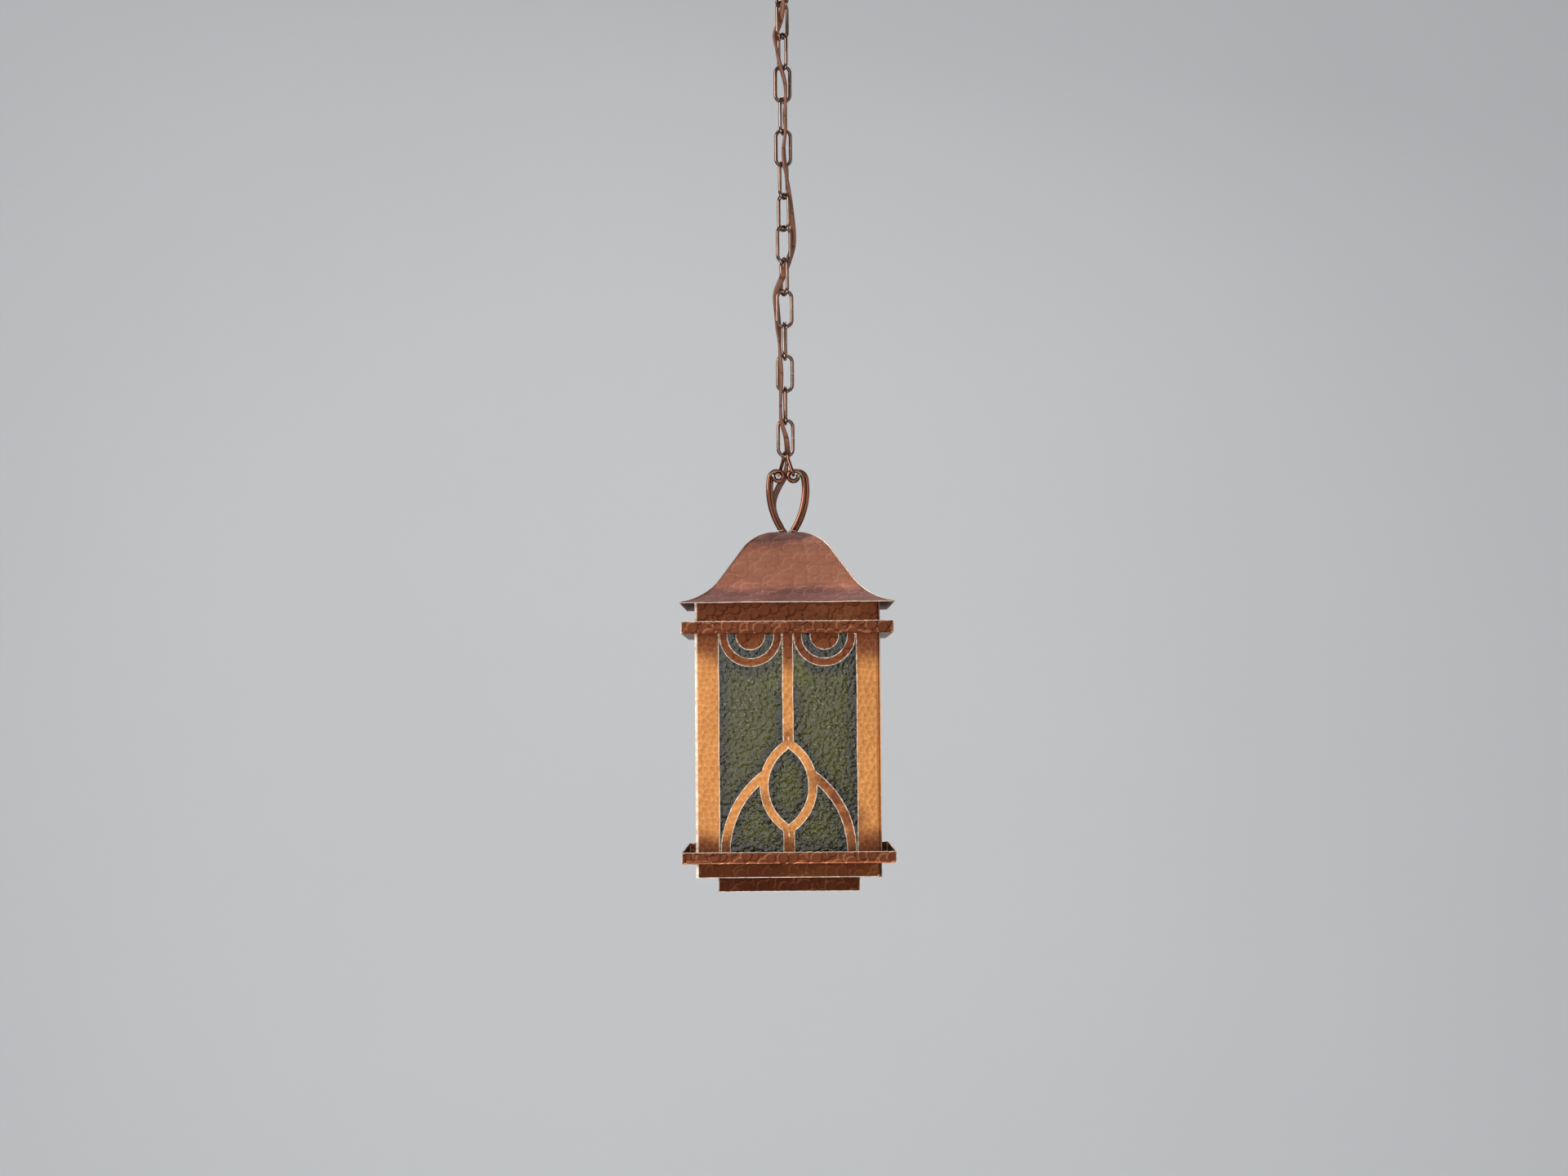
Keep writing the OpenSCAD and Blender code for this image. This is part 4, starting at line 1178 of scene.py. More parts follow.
def panel_outlines(outline):
    """Draws the window and its tracery, and returns the test for where there is metal."""
    window = settings("window")
    half = window.width / 2
    ring_z = UPPER_LOW.z - window.ring_drop
    oval_z = WINDOW_BOTTOM + window.oval_h
    spring_z = WINDOW_BOTTOM + window.spring_rise
    inner = window.oval_r
    outer = window.oval_r + window.oval_band
    tip = oval_z + math.sqrt(inner**2 - window.oval_x**2)
    foot = oval_z - math.sqrt(inner**2 - window.oval_x**2)
    band_x = window.oval_x - window.oval_r - window.oval_band / 2
    spring_x = -(window.spring_r - half + window.spring_out)

    outline.line(
        (-half, WINDOW_BOTTOM), (half, WINDOW_BOTTOM), (half, WINDOW_TOP), (-half, WINDOW_TOP),
        closed=True,
    )
    for side in (-1, 1):
        bar_x, stem_x = side * window.bar / 2, side * window.stem / 2
        outline.line((bar_x, tip - window.bar_lap), (bar_x, WINDOW_TOP))
        outline.line((stem_x, WINDOW_BOTTOM), (stem_x, foot))
        for radius in (window.disc_r, window.ring_r, window.ring_r - window.ring_band):
            outline.arc((side * window.ring_x, ring_z), radius, 180, 360)
        for radius in (inner, outer):
            reach = math.degrees(math.acos(window.oval_x / radius))
            middle = 180 if side > 0 else 0
            outline.arc((side * window.oval_x, oval_z), radius, middle - reach, middle + reach)
        for radius in (window.spring_r, window.spring_r - window.spring_band):
            start = math.degrees(math.asin((WINDOW_BOTTOM - spring_z) / radius))
            end = math.degrees(math.acos((-band_x - spring_x) / radius))
            if side > 0:
                outline.arc((spring_x, spring_z), radius, start, end)
            else:
                outline.arc((-spring_x, spring_z), radius, 180 - end, 180 - start)

    def in_tracery(x, z):
        far = np.maximum(
            np.hypot(x - window.oval_x, z - oval_z), np.hypot(x + window.oval_x, z - oval_z)
        )
        metal = (far < outer) & (far > inner)
        metal |= (np.abs(x) < window.bar / 2) & (z > tip)
        metal |= (np.abs(x) < window.stem / 2) & (z < foot)
        ring = np.hypot(np.abs(x) - window.ring_x, z - ring_z)
        metal |= ring < window.disc_r
        metal |= (ring < window.ring_r) & (ring > window.ring_r - window.ring_band)
        spring = np.hypot(np.abs(x) - spring_x, z - spring_z)
        metal |= (
            (spring < window.spring_r) & (spring > window.spring_r - window.spring_band)
            & (np.abs(x) > -band_x)
        )
        return metal

    def in_window(x, z):
        return (np.abs(x) < half) & (z > WINDOW_BOTTOM) & (z < WINDOW_TOP)

    return lambda x, z: ~in_window(x, z) | in_tracery(x, z)


def panel_sheet():
    """The flat side panel, unrolled past its fold: points, faces and where the fold starts."""
    hammer = settings("hammering")
    window = settings("window")
    face_end = HALF_BODY - hammer.sheet - SEAT - window.fold_r
    unrolled = face_end + window.fold_r * math.pi / 2 + window.flange
    notch = BODY_BOTTOM + hammer.sheet + 2 * SEAT
    outline = Outline(spacing(hammer.step))
    has_metal = panel_outlines(outline)
    outline.line(
        (-HALF_BODY, BODY_BOTTOM), (face_end, BODY_BOTTOM), (face_end, notch),
        (unrolled, notch), (unrolled, BODY_TOP), (-HALF_BODY, BODY_TOP), closed=True,
    )
    outline.line((face_end, notch), (face_end, BODY_TOP))

    def is_metal(u, v):
        edge = (u > -HALF_BODY) & (u < unrolled) & (v > BODY_BOTTOM) & (v < BODY_TOP)
        edge &= (u < face_end) | (v > notch)
        return edge & has_metal(u, v)

    flat, faces = cut_sheet(
        outline, (-HALF_BODY, BODY_BOTTOM), (unrolled, BODY_TOP), is_metal
    )
    return flat, faces, face_end


def folded(u, face_end, radius):
    """Place and outward normal across a panel whose right edge folds back."""
    turn = np.clip((u - face_end) / radius, 0, math.pi / 2)
    beyond = np.maximum(u - face_end - radius * math.pi / 2, 0)
    x = np.minimum(u, face_end) + radius * np.sin(turn)
    y = -HALF_BODY + radius * (1 - np.cos(turn)) + beyond
    return x, y, np.sin(turn), -np.cos(turn)


def side_panel(flat, faces, face_end, quarter):
    """One hammered side panel with its folded corner and its lip."""
    hammer = settings("hammering")
    window = settings("window")
    u, v = flat[:, 0].copy(), flat[:, 1].copy()
    ground = np.column_stack([u, v])
    seed = 11 + quarter
    fine, ridge = planished(ground, hammer.pane_pitch, hammer.pane_depth, seed)
    broad, rim, glint = overlapped(ground, hammer.band_pitch, hammer.band_depth, seed + 20)
    # Broad marks on the half rings, the frieze and the plinth, and close-set ones between
    middle = np.abs(u) < window.width / 2 + 0.7 * MM
    frieze_low = UPPER_LOW.z - window.frieze_reach
    frieze = ramp(v, frieze_low, frieze_low + 10 * MM) * middle
    frieze = np.maximum(frieze, ramp(v, UPPER_LOW.z - 4 * MM, UPPER_LOW.z + 4 * MM))
    frieze = np.maximum(frieze, ramp(v, LOWER_HIGH.z + 2 * MM, LOWER_HIGH.z - 2 * MM))
    height = fine * (1 - frieze) + broad * frieze
    stain = np.zeros(len(u))
    for x, z, reach, depth in PANEL_STAINS[quarter]:
        away = np.hypot(u - x * MM, v - (UPPER_LOW.z + z * MM)) / (reach * MM)
        stain = np.maximum(stain, depth * np.clip(1.3 - away, 0, 1))
    # Darker over the frieze within the window's width
    rings = ramp(v, frieze_low + 1 * MM, frieze_low + 3 * MM)
    rings *= middle & (np.abs(u) > 5.5 * MM)
    stain = np.maximum(stain, 0.8 * rings)
    height *= 1 - 0.8 * ramp(u, face_end - 1 * MM, face_end + 1 * MM)
    inside = ramp(np.abs(u), HALF_BODY, HALF_BODY - 4 * MM)
    u += inside * waver(np.column_stack([v, v, u]), hammer.waver, 13 * MM, seed)
    x, y, nx, ny = folded(u, face_end, window.fold_r)
    outer = np.column_stack([x + nx * height, y + ny * height, v])
    depth = height * 0.6 - hammer.sheet
    inner = np.column_stack([x + nx * depth, y + ny * depth, v])
    points, solids, edge = shell(outer, inner, faces)
    # The front's left corner gets a painted highlight strip, the others hardly
    highlight_end = window.corner_highlight - HALF_BODY
    corner = ramp(u, highlight_end, highlight_end - 0.8 * MM)
    edge = np.maximum(edge, np.tile(corner, 2))
    if quarter:
        edge *= 1 - 0.75 * np.tile(corner, 2)
        corner *= 0.25
    # Ridges of the close-set blows, polished and partly painted highlight, painted highlight on the
    # broad blows, and the corner's painted highlight
    ridge = np.maximum(ridge * (1 - frieze) + 0.6 * glint * frieze, corner)
    # Painted shade on the broad blows' rims, and over the plinth below the lower band
    rim = np.maximum(rim * frieze, 0.9 * (v < LOWER_LOW.z + 2 * MM))
    sheet = (
        points, solids,
        {"ridge": np.tile(ridge, 2), "rim": np.tile(rim, 2),
         "stain": np.tile(stain, 2), "cut": edge},
    )
    lip = panel_lip(window.lip)
    name = f"hammered_panel_{SIDES[quarter]}"
    points, solids, marks = join_shells([sheet, lip])
    mesh = make_mesh(name, turned(points, quarter), solids, marks)
    sharpen(mesh, 40)
    return add_object(
        name, mesh, "lantern", "bright_copper", finish("panel_copper"),
        [f"side_panel_{SIDES[quarter]}"],
    )


def panel_lip(width):
    """The lip folded in below a panel, mitred at its ends."""
    sheet = settings("hammering").sheet
    reach = HALF_BODY - sheet - SEAT
    outline = [(-reach + sheet, -reach), (reach - sheet, -reach),
               (reach - width, width - reach), (width - reach, width - reach)]
    low = np.array([(x, y, BODY_BOTTOM) for x, y in outline])
    high = low + np.array([0, 0, sheet])
    faces = [(3, 2, 1, 0), (4, 5, 6, 7)] + [(i, (i + 1) % 4, (i + 1) % 4 + 4, i + 4)
                                            for i in range(4)]
    marks = {key: np.zeros(8) for key in ("ridge", "rim", "stain", "cut")}
    return np.concatenate([low, high]), faces, marks


def roof_profile():
    """The roof's outer line from eave to crown."""
    roof = settings("roof")
    height = CROWN_Z - EAVE_Z
    crown = (roof.crown_flat, height - roof.crown_r)
    low = 90 - roof.slope
    joint = (
        crown[0] + roof.crown_r * math.cos(math.radians(low)),
        crown[1] + roof.crown_r * math.sin(math.radians(low)),
    )
    slope = math.radians(roof.slope)
    eave_x = (
        joint[0] + roof.eave_r * math.sin(slope)
        + (joint[1] - roof.eave_r * (1 - math.cos(slope))) / math.tan(slope)
    )
    start = 270 - math.degrees(math.asin((eave_x - HALF_EAVE) / roof.eave_r))
    rows = profile_arc((eave_x, roof.eave_r), roof.eave_r, start, 270 - roof.slope, outward=-1)
    rows += profile_arc(crown, roof.crown_r, low, 90)
    rows.append((0, height, 0, 1))
    return measured([(w, h + EAVE_Z, nw, nh) for w, h, nw, nh in rows])


def roof_marks(u, v, seed):
    """Broad marks with fine ones over them: height, dark and light rims."""
    hammer = settings("hammering")
    ground = np.column_stack([u, v])
    broad, rim, glint = overlapped(ground, hammer.roof_pitch, hammer.roof_depth, seed)
    fine, _ = planished(ground, hammer.pane_pitch, hammer.roof_depth * 0.35, seed + 5)
    return broad + fine, rim, glint


def band_marks(u, v, seed):
    """The marks of the frieze and bands: height, dark and light rims."""
    hammer = settings("hammering")
    ground = np.column_stack([u, v])
    return overlapped(ground, hammer.band_pitch, hammer.band_depth, seed)


def shaded_base_marks(u, v, seed):
    """The marks of the bands on darker metal."""
    height, rim, glint = band_marks(u, v, seed)
    return height, np.maximum(rim, 0.9), glint * 0.5


def bead(name, path, width, seed):
    """A low, uneven bead of solder along a path."""
    sides, flatness = 8, 0.4
    rings = []
    last = len(path) - 1
    for i, place in enumerate(path):
        ahead = (path[min(i + 1, last)] - path[max(i - 1, 0)]).normalized()
        across = ahead.cross(Vector((0, 0, 1))).normalized()
        up = across.cross(ahead)
        rough = 0.75 + 0.5 * scatter(np.array([[i, seed, 3]]), seed, 1)[0]
        taper = min(1, 0.3 + min(i, last - i) * 0.35)
        turns = [math.tau * j / sides for j in range(sides)]
        rings.append([
            place + (math.cos(a) * across + flatness * math.sin(a) * up)
            * float(width / 2 * taper * rough)
            for a in turns
        ])
    mesh = make_mesh(name, *tube(rings))
    fix_normals(mesh)
    return mesh


def make_roof():
    """Four hammered gores and the solder seams along their hips."""
    roof = settings("roof")
    scallop = (roof.nibble_pitch, settings("hammering").thin_nibble, 0)
    profile = roof_profile()
    for quarter, side in enumerate(SIDES):
        points, faces, marks = mitred_side(
            profile, SEAT / 2, roof_marks, 41 + quarter, roof.hole_r, 0.25 * MM, scallop
        )
        mesh = make_mesh(f"hammered_roof_{side}", turned(points, quarter), faces, marks)
        sharpen(mesh, 40)
        add_object(
            mesh.name, mesh, "lantern", "patina_copper", finish("roof_copper"),
            [f"roof_panel_{side}"],
        )
    ways = np.linspace(profile[0, 4] + 1 * MM, profile[-1, 4] - 8 * MM, 46)
    path = [Vector((w, -w, h)) for w, h, *_ in (section(profile, way) for way in ways)]
    for quarter, side in enumerate(SIDES):
        mesh = bead(f"hip_seam_{side}", path, roof.seam, 61 + quarter)
        mesh.transform(Matrix.Rotation(quarter * math.pi / 2, 4, "Z"))
        shine = finish("solder" if quarter % 2 else "bare_solder")
        add_object(mesh.name, mesh, "lantern", "patina_copper", shine)


def make_side_panels():
    """Four pierced panels, cut from the same flat sheet."""
    flat, faces, face_end = panel_sheet()
    for quarter in range(4):
        side_panel(flat, faces, face_end, quarter)


def angle_profile(low, high, inner):
    """A flange out from the body, a folded edge and an upright strip."""
    fold = 0.8 * MM
    half = high.x
    rows = [(inner, low.z, 0, -1), (half - fold, low.z, 0, -1)]
    rows += profile_arc((half - fold, low.z + fold), fold, 270, 360)
    rows.append((half, high.z, 1, 0))
    return measured(rows)


def make_bands():
    """The upper and the lower hoop round the body."""
    hammer = settings("hammering")
    for name, low, high, seed in (
        ("upper_band", UPPER_LOW, UPPER_HIGH, 71), ("lower_band", LOWER_LOW, LOWER_HIGH, 81)
    ):
        square_ring(
            f"hammered_{name}", angle_profile(low, high, HALF_BODY + SEAT), MITRE_GAP, band_marks,
            seed, (hammer.nibble_pitch, hammer.nibble, -1),
            slot="brown_copper", material=finish("band_copper"), replaces=[name],
        )


def make_base():
    """The lowest tier, hung by its flange on the ring plate."""
    low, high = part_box("base_skirt")
    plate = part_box("base_plate")[1]
    hammer = settings("hammering")
    half = high.x - hammer.skirt_flange
    rows = [(half, low.z, 1, 0), (half, plate.z + SEAT, 1, 0)]
    square_ring(
        "hammered_skirt", measured(rows), MITRE_GAP, shaded_base_marks, 91,
        (hammer.base_pitch, hammer.thin_nibble, 0),
        slot="brown_copper", material=finish("band_copper"), replaces=["base_skirt"],
    )
    top = plate.z + SEAT
    flange = measured([(half - hammer.sheet, top, 0, -1), (high.x, top, 0, -1)])
    square_ring(
        "skirt_flange", flange, MITRE_GAP, shaded_base_marks, 96,
        slot="brown_copper", material=finish("band_copper"),
    )
    paint(["base_plate"], "band_copper")


def pane_ripples(u, v, seed):
    """Depth of the glass surface's ripples, at least 0, from overlapping shallow dents."""
    glass = settings("glass")
    ground = np.column_stack([u, v])
    fine, _ = planished(ground, glass.fine_pitch, glass.fine_depth, seed)
    broad, *_ = overlapped(ground, glass.broad_pitch, glass.broad_depth, seed + 3)
    return -(fine + broad)


def make_glass():
    """Four rippled panes, each darker where it runs behind the metal's edges."""
    glass = settings("glass")
    step = spacing(glass.step)
    tracery = Outline(glass.trace)
    has_metal = panel_outlines(tracery)
    finder = finder_of(tracery.points)
    low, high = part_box("glass_front")
    across = np.linspace(low.x, high.x, int((high.x - low.x) / step))
    up = np.linspace(low.z, high.z, int((high.z - low.z) / step))
    u, v = (grid.ravel() for grid in np.meshgrid(across, up))
    near = np.array([finder.find((a, b, 0))[2] for a, b in zip(u, v)])
    shade = np.where(has_metal(u, v), 1, np.clip(1.15 - near / glass.shade, 0, 1))
    cells = np.arange(len(u)).reshape(len(up), len(across))
    a, b, c, d = (
        part.ravel() for part in (cells[:-1, :-1], cells[:-1, 1:], cells[1:, 1:], cells[1:, :-1])
    )
    faces = np.concatenate([np.column_stack([a, b, c]), np.column_stack([a, c, d])])
    for quarter, side in enumerate(SIDES):
        outer = np.column_stack([u, low.y + pane_ripples(u, v, 101 + quarter), v])
        inner = np.column_stack([u, np.full(len(u), high.y), v])
        points, solids, _ = shell(outer, inner, faces)
        mesh = make_mesh(
            f"rippled_pane_{side}", turned(points, quarter), solids,
            {"shade": np.tile(shade, 2)},
        )
        sharpen(mesh, 50)
        add_object(
            mesh.name, mesh, "lantern", "green_glass", finish("pane_glass"), [f"glass_{side}"]
        )
    paint(["glass_tabs"], "band_copper")


def make_chain():
    """One oval link for each link of the chain."""
    wire = settings("wire")
    tree = shared("Oval link", oval_link_tree)
    for k, node in enumerate(LINKS):
        low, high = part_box(node)
        host = bpy.data.meshes.new(node)
        mesh = grown(
            f"oval_{node}", host, tree,
            {
                "Width": wire.link_w, "Wire": wire.wire, "Butt": wire.butt,
                "Straight": high.z - low.z - wire.wire - wire.link_w,
                "Yaw": math.radians(LINK_YAW[k]), "Centre": (0.0, 0.0, (low.z + high.z) / 2),
                "Material": finish("link_copper"),
            },
        )
        add_object(mesh.name, mesh, node, "dark_copper_wire", replaces=[node])


def make_connector():
    """An opened link: a bend over the last chain link, two splayed legs and two hooks."""
    wire = settings("wire")
    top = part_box("connector")[1].z - wire.wire / 2
    bend_z = top - wire.bend_r
    hook_z = top - wire.drop
    yaw = math.radians(CONNECTOR_YAW)
    across = Vector((math.cos(yaw), math.sin(yaw), 0))
    up = Vector((0, 0, 1))
    bend_end = wire.bend_r * across + bend_z * up
    neck = bend_end - wire.neck * up
    elbow = Vector((wire.eye_x, -wire.splay, hook_z))
    hook = Vector((wire.eye_x, wire.hook, hook_z))
    half = [x * across + z * up for x, z in arc_points((0, bend_z), wire.bend_r, 90, 0, 16)]
    half += [neck] + bend_points(neck, elbow, hook, wire.elbow_r, 12) + [hook]
    other = [Vector((-p.x, -p.y, p.z)) for p in reversed(half[1:])]
    bent_wire("bent_connector", other + half, wire.wire, "connector", ["connector"])


def heart_path(foot, widest, lobe_r, curl):
    """One wire of a heart in its own plane, from the tail below the crown to the eye."""
    wire = settings("wire")
    side_r = ((widest - foot) ** 2 + wire.widest_h**2) / (2 * (widest - foot))
    side = Vector((widest - side_r, wire.widest_h))
    eye = Vector((wire.eye_x, wire.eye_h))
    reach = (eye - side).length
    along = ((side_r - lobe_r) ** 2 - (lobe_r - wire.eye_r) ** 2 + reach**2) / (2 * reach)
    across = math.sqrt((side_r - lobe_r) ** 2 - along**2)
    u = (eye - side).normalized()
    lobe = side + along * u + across * Vector((u.y, -u.x))

    def turn(centre, point):
        return math.degrees(math.atan2(point[1] - centre[1], point[0] - centre[0]))

    foot_turn = math.degrees(math.atan2(-wire.widest_h, foot - side.x))
    lobe_turn = turn(side, lobe)
    eye_turn = turn(lobe, eye)
    a = math.radians(foot_turn)
    tail = (foot + wire.tail_r * math.cos(a), wire.tail_r * math.sin(a))
    path = [(wire.tail, tail[1] - wire.tail_r)]
    path += arc_points(tail, wire.tail_r, 270, foot_turn + 180, 8)
    path += arc_points(side, side_r, foot_turn, lobe_turn, 22)
    path += arc_points(lobe, lobe_r, lobe_turn, eye_turn, 20)
    path += arc_points(eye, wire.eye_r, eye_turn, eye_turn + curl, 28)
    thinned = [path[0]]
    for point in path[1:]:
        if math.dist(point, thinned[-1]) > 0.05 * MM:
            thinned.append(point)
    return thinned


def make_hanger():
    """Two hearts of doubled wire, front and rear, with scroll eyes."""
    wire = settings("wire")
    for row, front in (("front", -1), ("rear", 1)):
        for name, side in (("left", -1), ("right", 1)):
            shift = side * wire.shift if front > 0 else 0
            widest = wire.heart_w + shift * (0.8 if shift < 0 else 1)
            lobe_r = (widest - wire.eye_x + wire.eye_r) / 2 + 0.8 * MM
            y = front * (wire.hanger / 2 + GAP)
            curl = 185 if shift < 0 else 265
            heart = heart_path(wire.foot + shift, widest, lobe_r, curl)
            path = [Vector((side * x, y, CROWN_Z + z)) for x, z in heart]
            node = f"hanger_wire_{row}_{name}"
            spots = [(path[-1], 3.4 * MM), (Vector((path[0].x, y, CROWN_Z)), 3 * MM)]
            bent_wire(f"bent_{node}", path, wire.hanger, "lantern", [node], spots)
    paint(["crown_washer"], "brass")
    for name, side in (("left", -1), ("right", 1)):
        path = [Vector((side * x * MM, y * MM, CROWN_Z + z * MM)) for x, y, z in FOOT_SOLDER]
        blob = bead(f"foot_solder_{name}", path, 3 * MM, 67 + side)
        add_object(blob.name, blob, "lantern", "patina_copper", finish("bare_solder"))


def make_ceiling_fittings():
    """The hammered canopy, with the fittings that carry the chain."""
    low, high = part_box("canopy")
    hammer = settings("hammering")
    canopy = settings("canopy")
    rim_r = high.x
    shoulder = canopy.shoulder
    rows = [(canopy.hole_r, low.z, 0, -1), (rim_r - shoulder, low.z, 0, -1)]
    rows += profile_arc((rim_r - shoulder, low.z + shoulder), shoulder, 270, 360)
    rows.append((rim_r, high.z, 1, 0))
    profile = measured(rows)
    step = spacing(canopy.step)
    ways = np.linspace(0, profile[-1, 4], int(profile[-1, 4] / step))
    w, h, nw, nh = section(profile, ways)
    around = int(math.tau * rim_r / step / 1.6)
    turns = np.arange(around) * math.tau / around
    cos, sin = np.cos(turns)[None, :], np.sin(turns)[None, :]

    def skin(offset):
        r = w[:, None] + nw[:, None] * offset
        z = h[:, None] + nh[:, None] * offset + 0 * cos
        return np.stack([r * cos, r * sin, z], axis=-1).reshape(-1, 3)

    places = skin(np.zeros((len(ways), around)))
    height, rim, glint = overlapped(places, hammer.roof_pitch, hammer.roof_depth, 31)
    height = height.reshape(len(ways), around)
    outer, inner = skin(height), skin(height * 0.6 - hammer.sheet)
    faces = []
    for i in range(len(ways) - 1):
        for j in range(around):
            a, b = i * around + j, i * around + (j + 1) % around
            c, d = a + around, b + around
            faces += [(a, d, b), (a, c, d)]
    points, solids, edge = shell(outer, inner, np.array(faces))
    # Rim holds painted shade and glint painted highlight on the canopy's blows
    marks = {"rim": np.tile(rim, 2), "ridge": np.tile(glint, 2), "cut": edge}
    mesh = make_mesh("hammered_canopy", points, solids, marks)
    sharpen(mesh, 40)
    fix_normals(mesh)
    add_object(
        mesh.name, mesh, "canopy", "patina_copper", finish("roof_copper"), ["canopy"]
    )
    paint(["mounting_strap"], "zinc")
    paint(["canopy_nipple", "canopy_nut"], "brass")
    paint(["canopy_loop"], "link_copper")


def make_socket():
    """The lamp socket and its strap, in their finishes."""
    paint(
        ["socket_strap", "socket_nipple", "socket_nut_upper", "socket_nut_lower",
         "socket_cap", "screw_shell", "centre_contact"],
        "brass",
    )
    paint(["socket_sleeve"], "sleeve")
    paint(["socket_base"], "glaze")


def cord_line():
    """The cord's route as a smooth line of (point, turn) rows, in metres and degrees."""
    rows = np.array(CORD_ROUTE, float)
    spaced = []
    for i in range(len(rows) - 1):
        before, after = rows[max(i - 1, 0)], rows[min(i + 2, len(rows) - 1)]
        for t in (0, 0.25, 0.5, 0.75):
            a, b = rows[i], rows[i + 1]
            m0, m1 = (b - before) / 2, (after - a) / 2
            spaced.append(
                (2 * t**3 - 3 * t**2 + 1) * a + (t**3 - 2 * t**2 + t) * m0
                + (-2 * t**3 + 3 * t**2) * b + (t**3 - t**2) * m1
            )
    spaced.append(rows[-1])
    return np.array(spaced)


def cord_outline():
    """The flat cord's two cores, side by side with a groove between them."""
    core, half = 1.3 * MM, 1.35 * MM
    outline = []
    for turn in range(-100, 101, 25):
        a = math.radians(turn)
        outline.append((half + core * math.cos(a), core * math.sin(a)))
    for turn in range(80, 281, 25):
        a = math.radians(turn)
        outline.append((-half + core * math.cos(a), core * math.sin(a)))
    return outline


def make_cord():
    """The cord in one piece for each pair of neighbouring bodies, cut at the links' middles."""
    line = cord_line()
    outline = cord_outline()
    middles = [0.0] + [sum(box.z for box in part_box(node)) / 2 / MM for node in LINKS]
    low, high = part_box("connector")
    middles.append((low.z + high.z) / 2 / MM)
    middles.append(CORD_ROUTE[-1][2])
    bodies = ["canopy"] + LINKS + ["connector", "lantern"]
    rings = []
    for i, row in enumerate(line):
        ahead = Vector(line[min(i + 1, len(line) - 1)][:3] - line[max(i - 1, 0)][:3]).normalized()
        x_axis = (Vector((1, 0, 0)) - ahead.x * ahead).normalized()
        y_axis = ahead.cross(x_axis)
        a = math.radians(-row[3])
        place = Vector(row[:3]) * MM
        rings.append([
            place + (x * math.cos(a) - y * math.sin(a)) * x_axis
            + (x * math.sin(a) + y * math.cos(a)) * y_axis
            for x, y in outline
        ])
    cuts = [0]
    for level in middles[1:-1]:
        cuts.append(int(np.argmin(np.abs(line[:, 2] - level))))
    cuts.append(len(line) - 1)
    for k, (upper, lower) in enumerate(zip(bodies, bodies[1:])):
        mesh = make_mesh(f"cord_{k + 1:02d}", *tube(rings[cuts[k]:cuts[k + 1] + 1]))
        fix_normals(mesh)
        mesh.materials.append(finish("cord"))
        piece = bpy.data.objects.new(mesh.name, mesh)
        bpy.context.scene.collection.objects.link(piece)
        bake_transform(piece)
        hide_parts("cord")


# Stage


def pale_surface(name):
    """The floor and backdrop: a plain pale paint with a faint unevenness."""
    stage = settings("stage")
    return matt(name, stage.backdrop, [c * 0.97 for c in stage.backdrop], 1.2, 0.7, 0.0)


def make_stage():
    """Camera, sweep of floor and backdrop, and soft light from both sides."""
    scene = bpy.context.scene
    stage = settings("stage")
    camera = bpy.data.objects.new("camera", bpy.data.cameras.new("camera"))
    scene.collection.objects.link(camera)
    camera.data.lens = stage.lens
    camera.data.sensor_width = 36
    camera.data.clip_end = 50
    camera.location = (stage.side * MM, -stage.distance, -stage.horizon)
    view = Matrix.Rotation(math.radians(90 + stage.tilt), 3, "X")
    view = view @ Matrix.Rotation(math.radians(stage.roll), 3, "Z")
    camera.rotation_euler = view.to_euler()
    scene.camera = camera

    path = [(-stage.front, -stage.floor), (stage.back - stage.sweep, -stage.floor)]
    corner = (stage.back - stage.sweep, stage.sweep - stage.floor)
    path += arc_points(corner, stage.sweep, -90, 0, 16)
    path += [(stage.back, stage.wall)]
    width = stage.half_width
    points = [(x, y, z) for x in (-width, width) for y, z in path]
    count = len(path)
    faces = [(i, i + count, i + 1 + count, i + 1) for i in range(count - 1)]
    sweep = make_mesh("studio_sweep", points, faces)
    add_object("studio_sweep", sweep, material=pale_surface("studio_paint"))

    for name, place, size, power in LAMPS:
        lamp = bpy.data.lights.new(name, "AREA")
        lamp.size = size
        lamp.energy = power
        holder = bpy.data.objects.new(name, lamp)
        scene.collection.objects.link(holder)
        holder.location = place
        holder.visible_camera = False
        towards = Vector((0, 0, -stage.aim)) - holder.location
        holder.rotation_euler = towards.to_track_quat("-Z", "Y").to_euler()

    world = bpy.data.worlds.new("studio_air")
    scene.world = world
    world.use_nodes = True
    air = world.node_tree.nodes["Background"]
    air.inputs["Color"].default_value = rgba(stage.air)
    air.inputs["Strength"].default_value = stage.air_strength
    scene.view_settings.view_transform = "Standard"


def operator(key, label, text, build):
    """An operator class that runs one of the builders above, whose errors stop it."""

    def execute(self, context):
        build()
        return {"FINISHED"}

    return type(
        "LANTERN_OT_" + key, (bpy.types.Operator,),
        {"bl_idname": "lantern." + key, "bl_label": label, "__doc__": text, "execute": execute},
    )


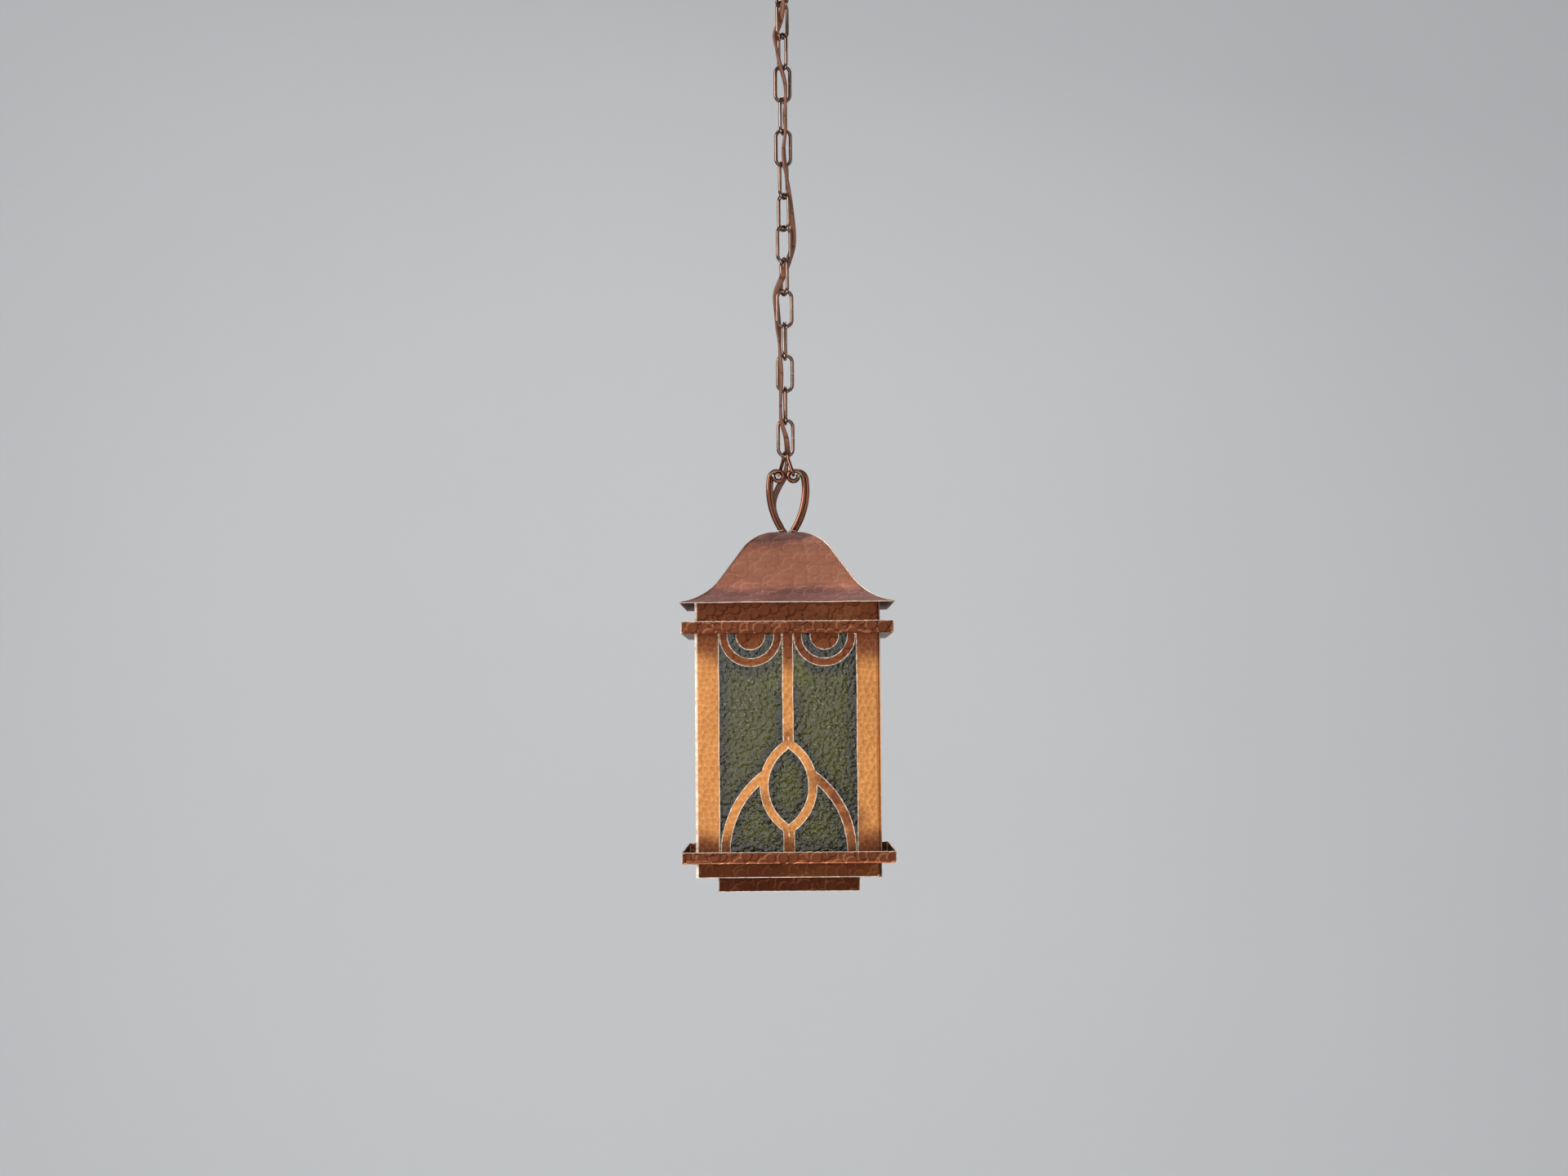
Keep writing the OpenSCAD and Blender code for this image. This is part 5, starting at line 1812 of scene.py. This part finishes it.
STEPS = (
    ("stage", "Stage", "Camera, floor, backdrop and lights", make_stage),
    ("cord", "Cord", "The flat cord through the chain", make_cord),
    ("ceiling_fittings", "Ceiling fittings", "Canopy, strap and loop", make_ceiling_fittings),
    ("chain", "Chain", "The oval links", make_chain),
    ("connector", "Connector", "The opened link above the hanger", make_connector),
    ("hanger", "Hanger", "The heart-shaped wires", make_hanger),
    ("roof", "Roof", "The hammered gores and their seams", make_roof),
    ("side_panels", "Side panels", "The pierced panels", make_side_panels),
    ("bands", "Bands", "The two hoops round the body", make_bands),
    ("base", "Base", "The lowest tier", make_base),
    ("glass", "Glass", "The four green panes", make_glass),
    ("socket", "Socket", "The lamp socket", make_socket),
)
OPERATORS = [operator(*step) for step in STEPS]


class LANTERN_PT_builder(bpy.types.Panel):
    """Lists the builders in the 3D view's sidebar"""

    bl_label = "Lantern"
    bl_idname = "LANTERN_PT_builder"
    bl_space_type = "VIEW_3D"
    bl_region_type = "UI"
    bl_category = "Lantern"

    def draw(self, context):
        for key, *_ in STEPS:
            self.layout.operator("lantern." + key)


GROUPS = {
    "hammering": LanternHammering,
    "roof": LanternRoof,
    "canopy": LanternCanopy,
    "window": LanternWindow,
    "glass": LanternGlass,
    "wire": LanternWire,
    "finish": LanternFinish,
    "stage": LanternStage,
}


def register():
    """Adds the sizes, the operators and the panel."""
    for kind, group in GROUPS.items():
        bpy.utils.register_class(group)
        setattr(bpy.types.Scene, "lantern_" + kind, bpy.props.PointerProperty(type=group))
    for item in OPERATORS + [LANTERN_PT_builder]:
        bpy.utils.register_class(item)


def unregister():
    """Takes them away again."""
    for item in reversed(OPERATORS + [LANTERN_PT_builder]):
        bpy.utils.unregister_class(item)
    for kind, group in reversed(GROUPS.items()):
        delattr(bpy.types.Scene, "lantern_" + kind)
        bpy.utils.unregister_class(group)


def main():
    """Builds everything in order and notes the sizes."""
    register()
    for key, *_ in STEPS:
        getattr(bpy.ops.lantern, key)()


if __name__ == "__main__":
    main()
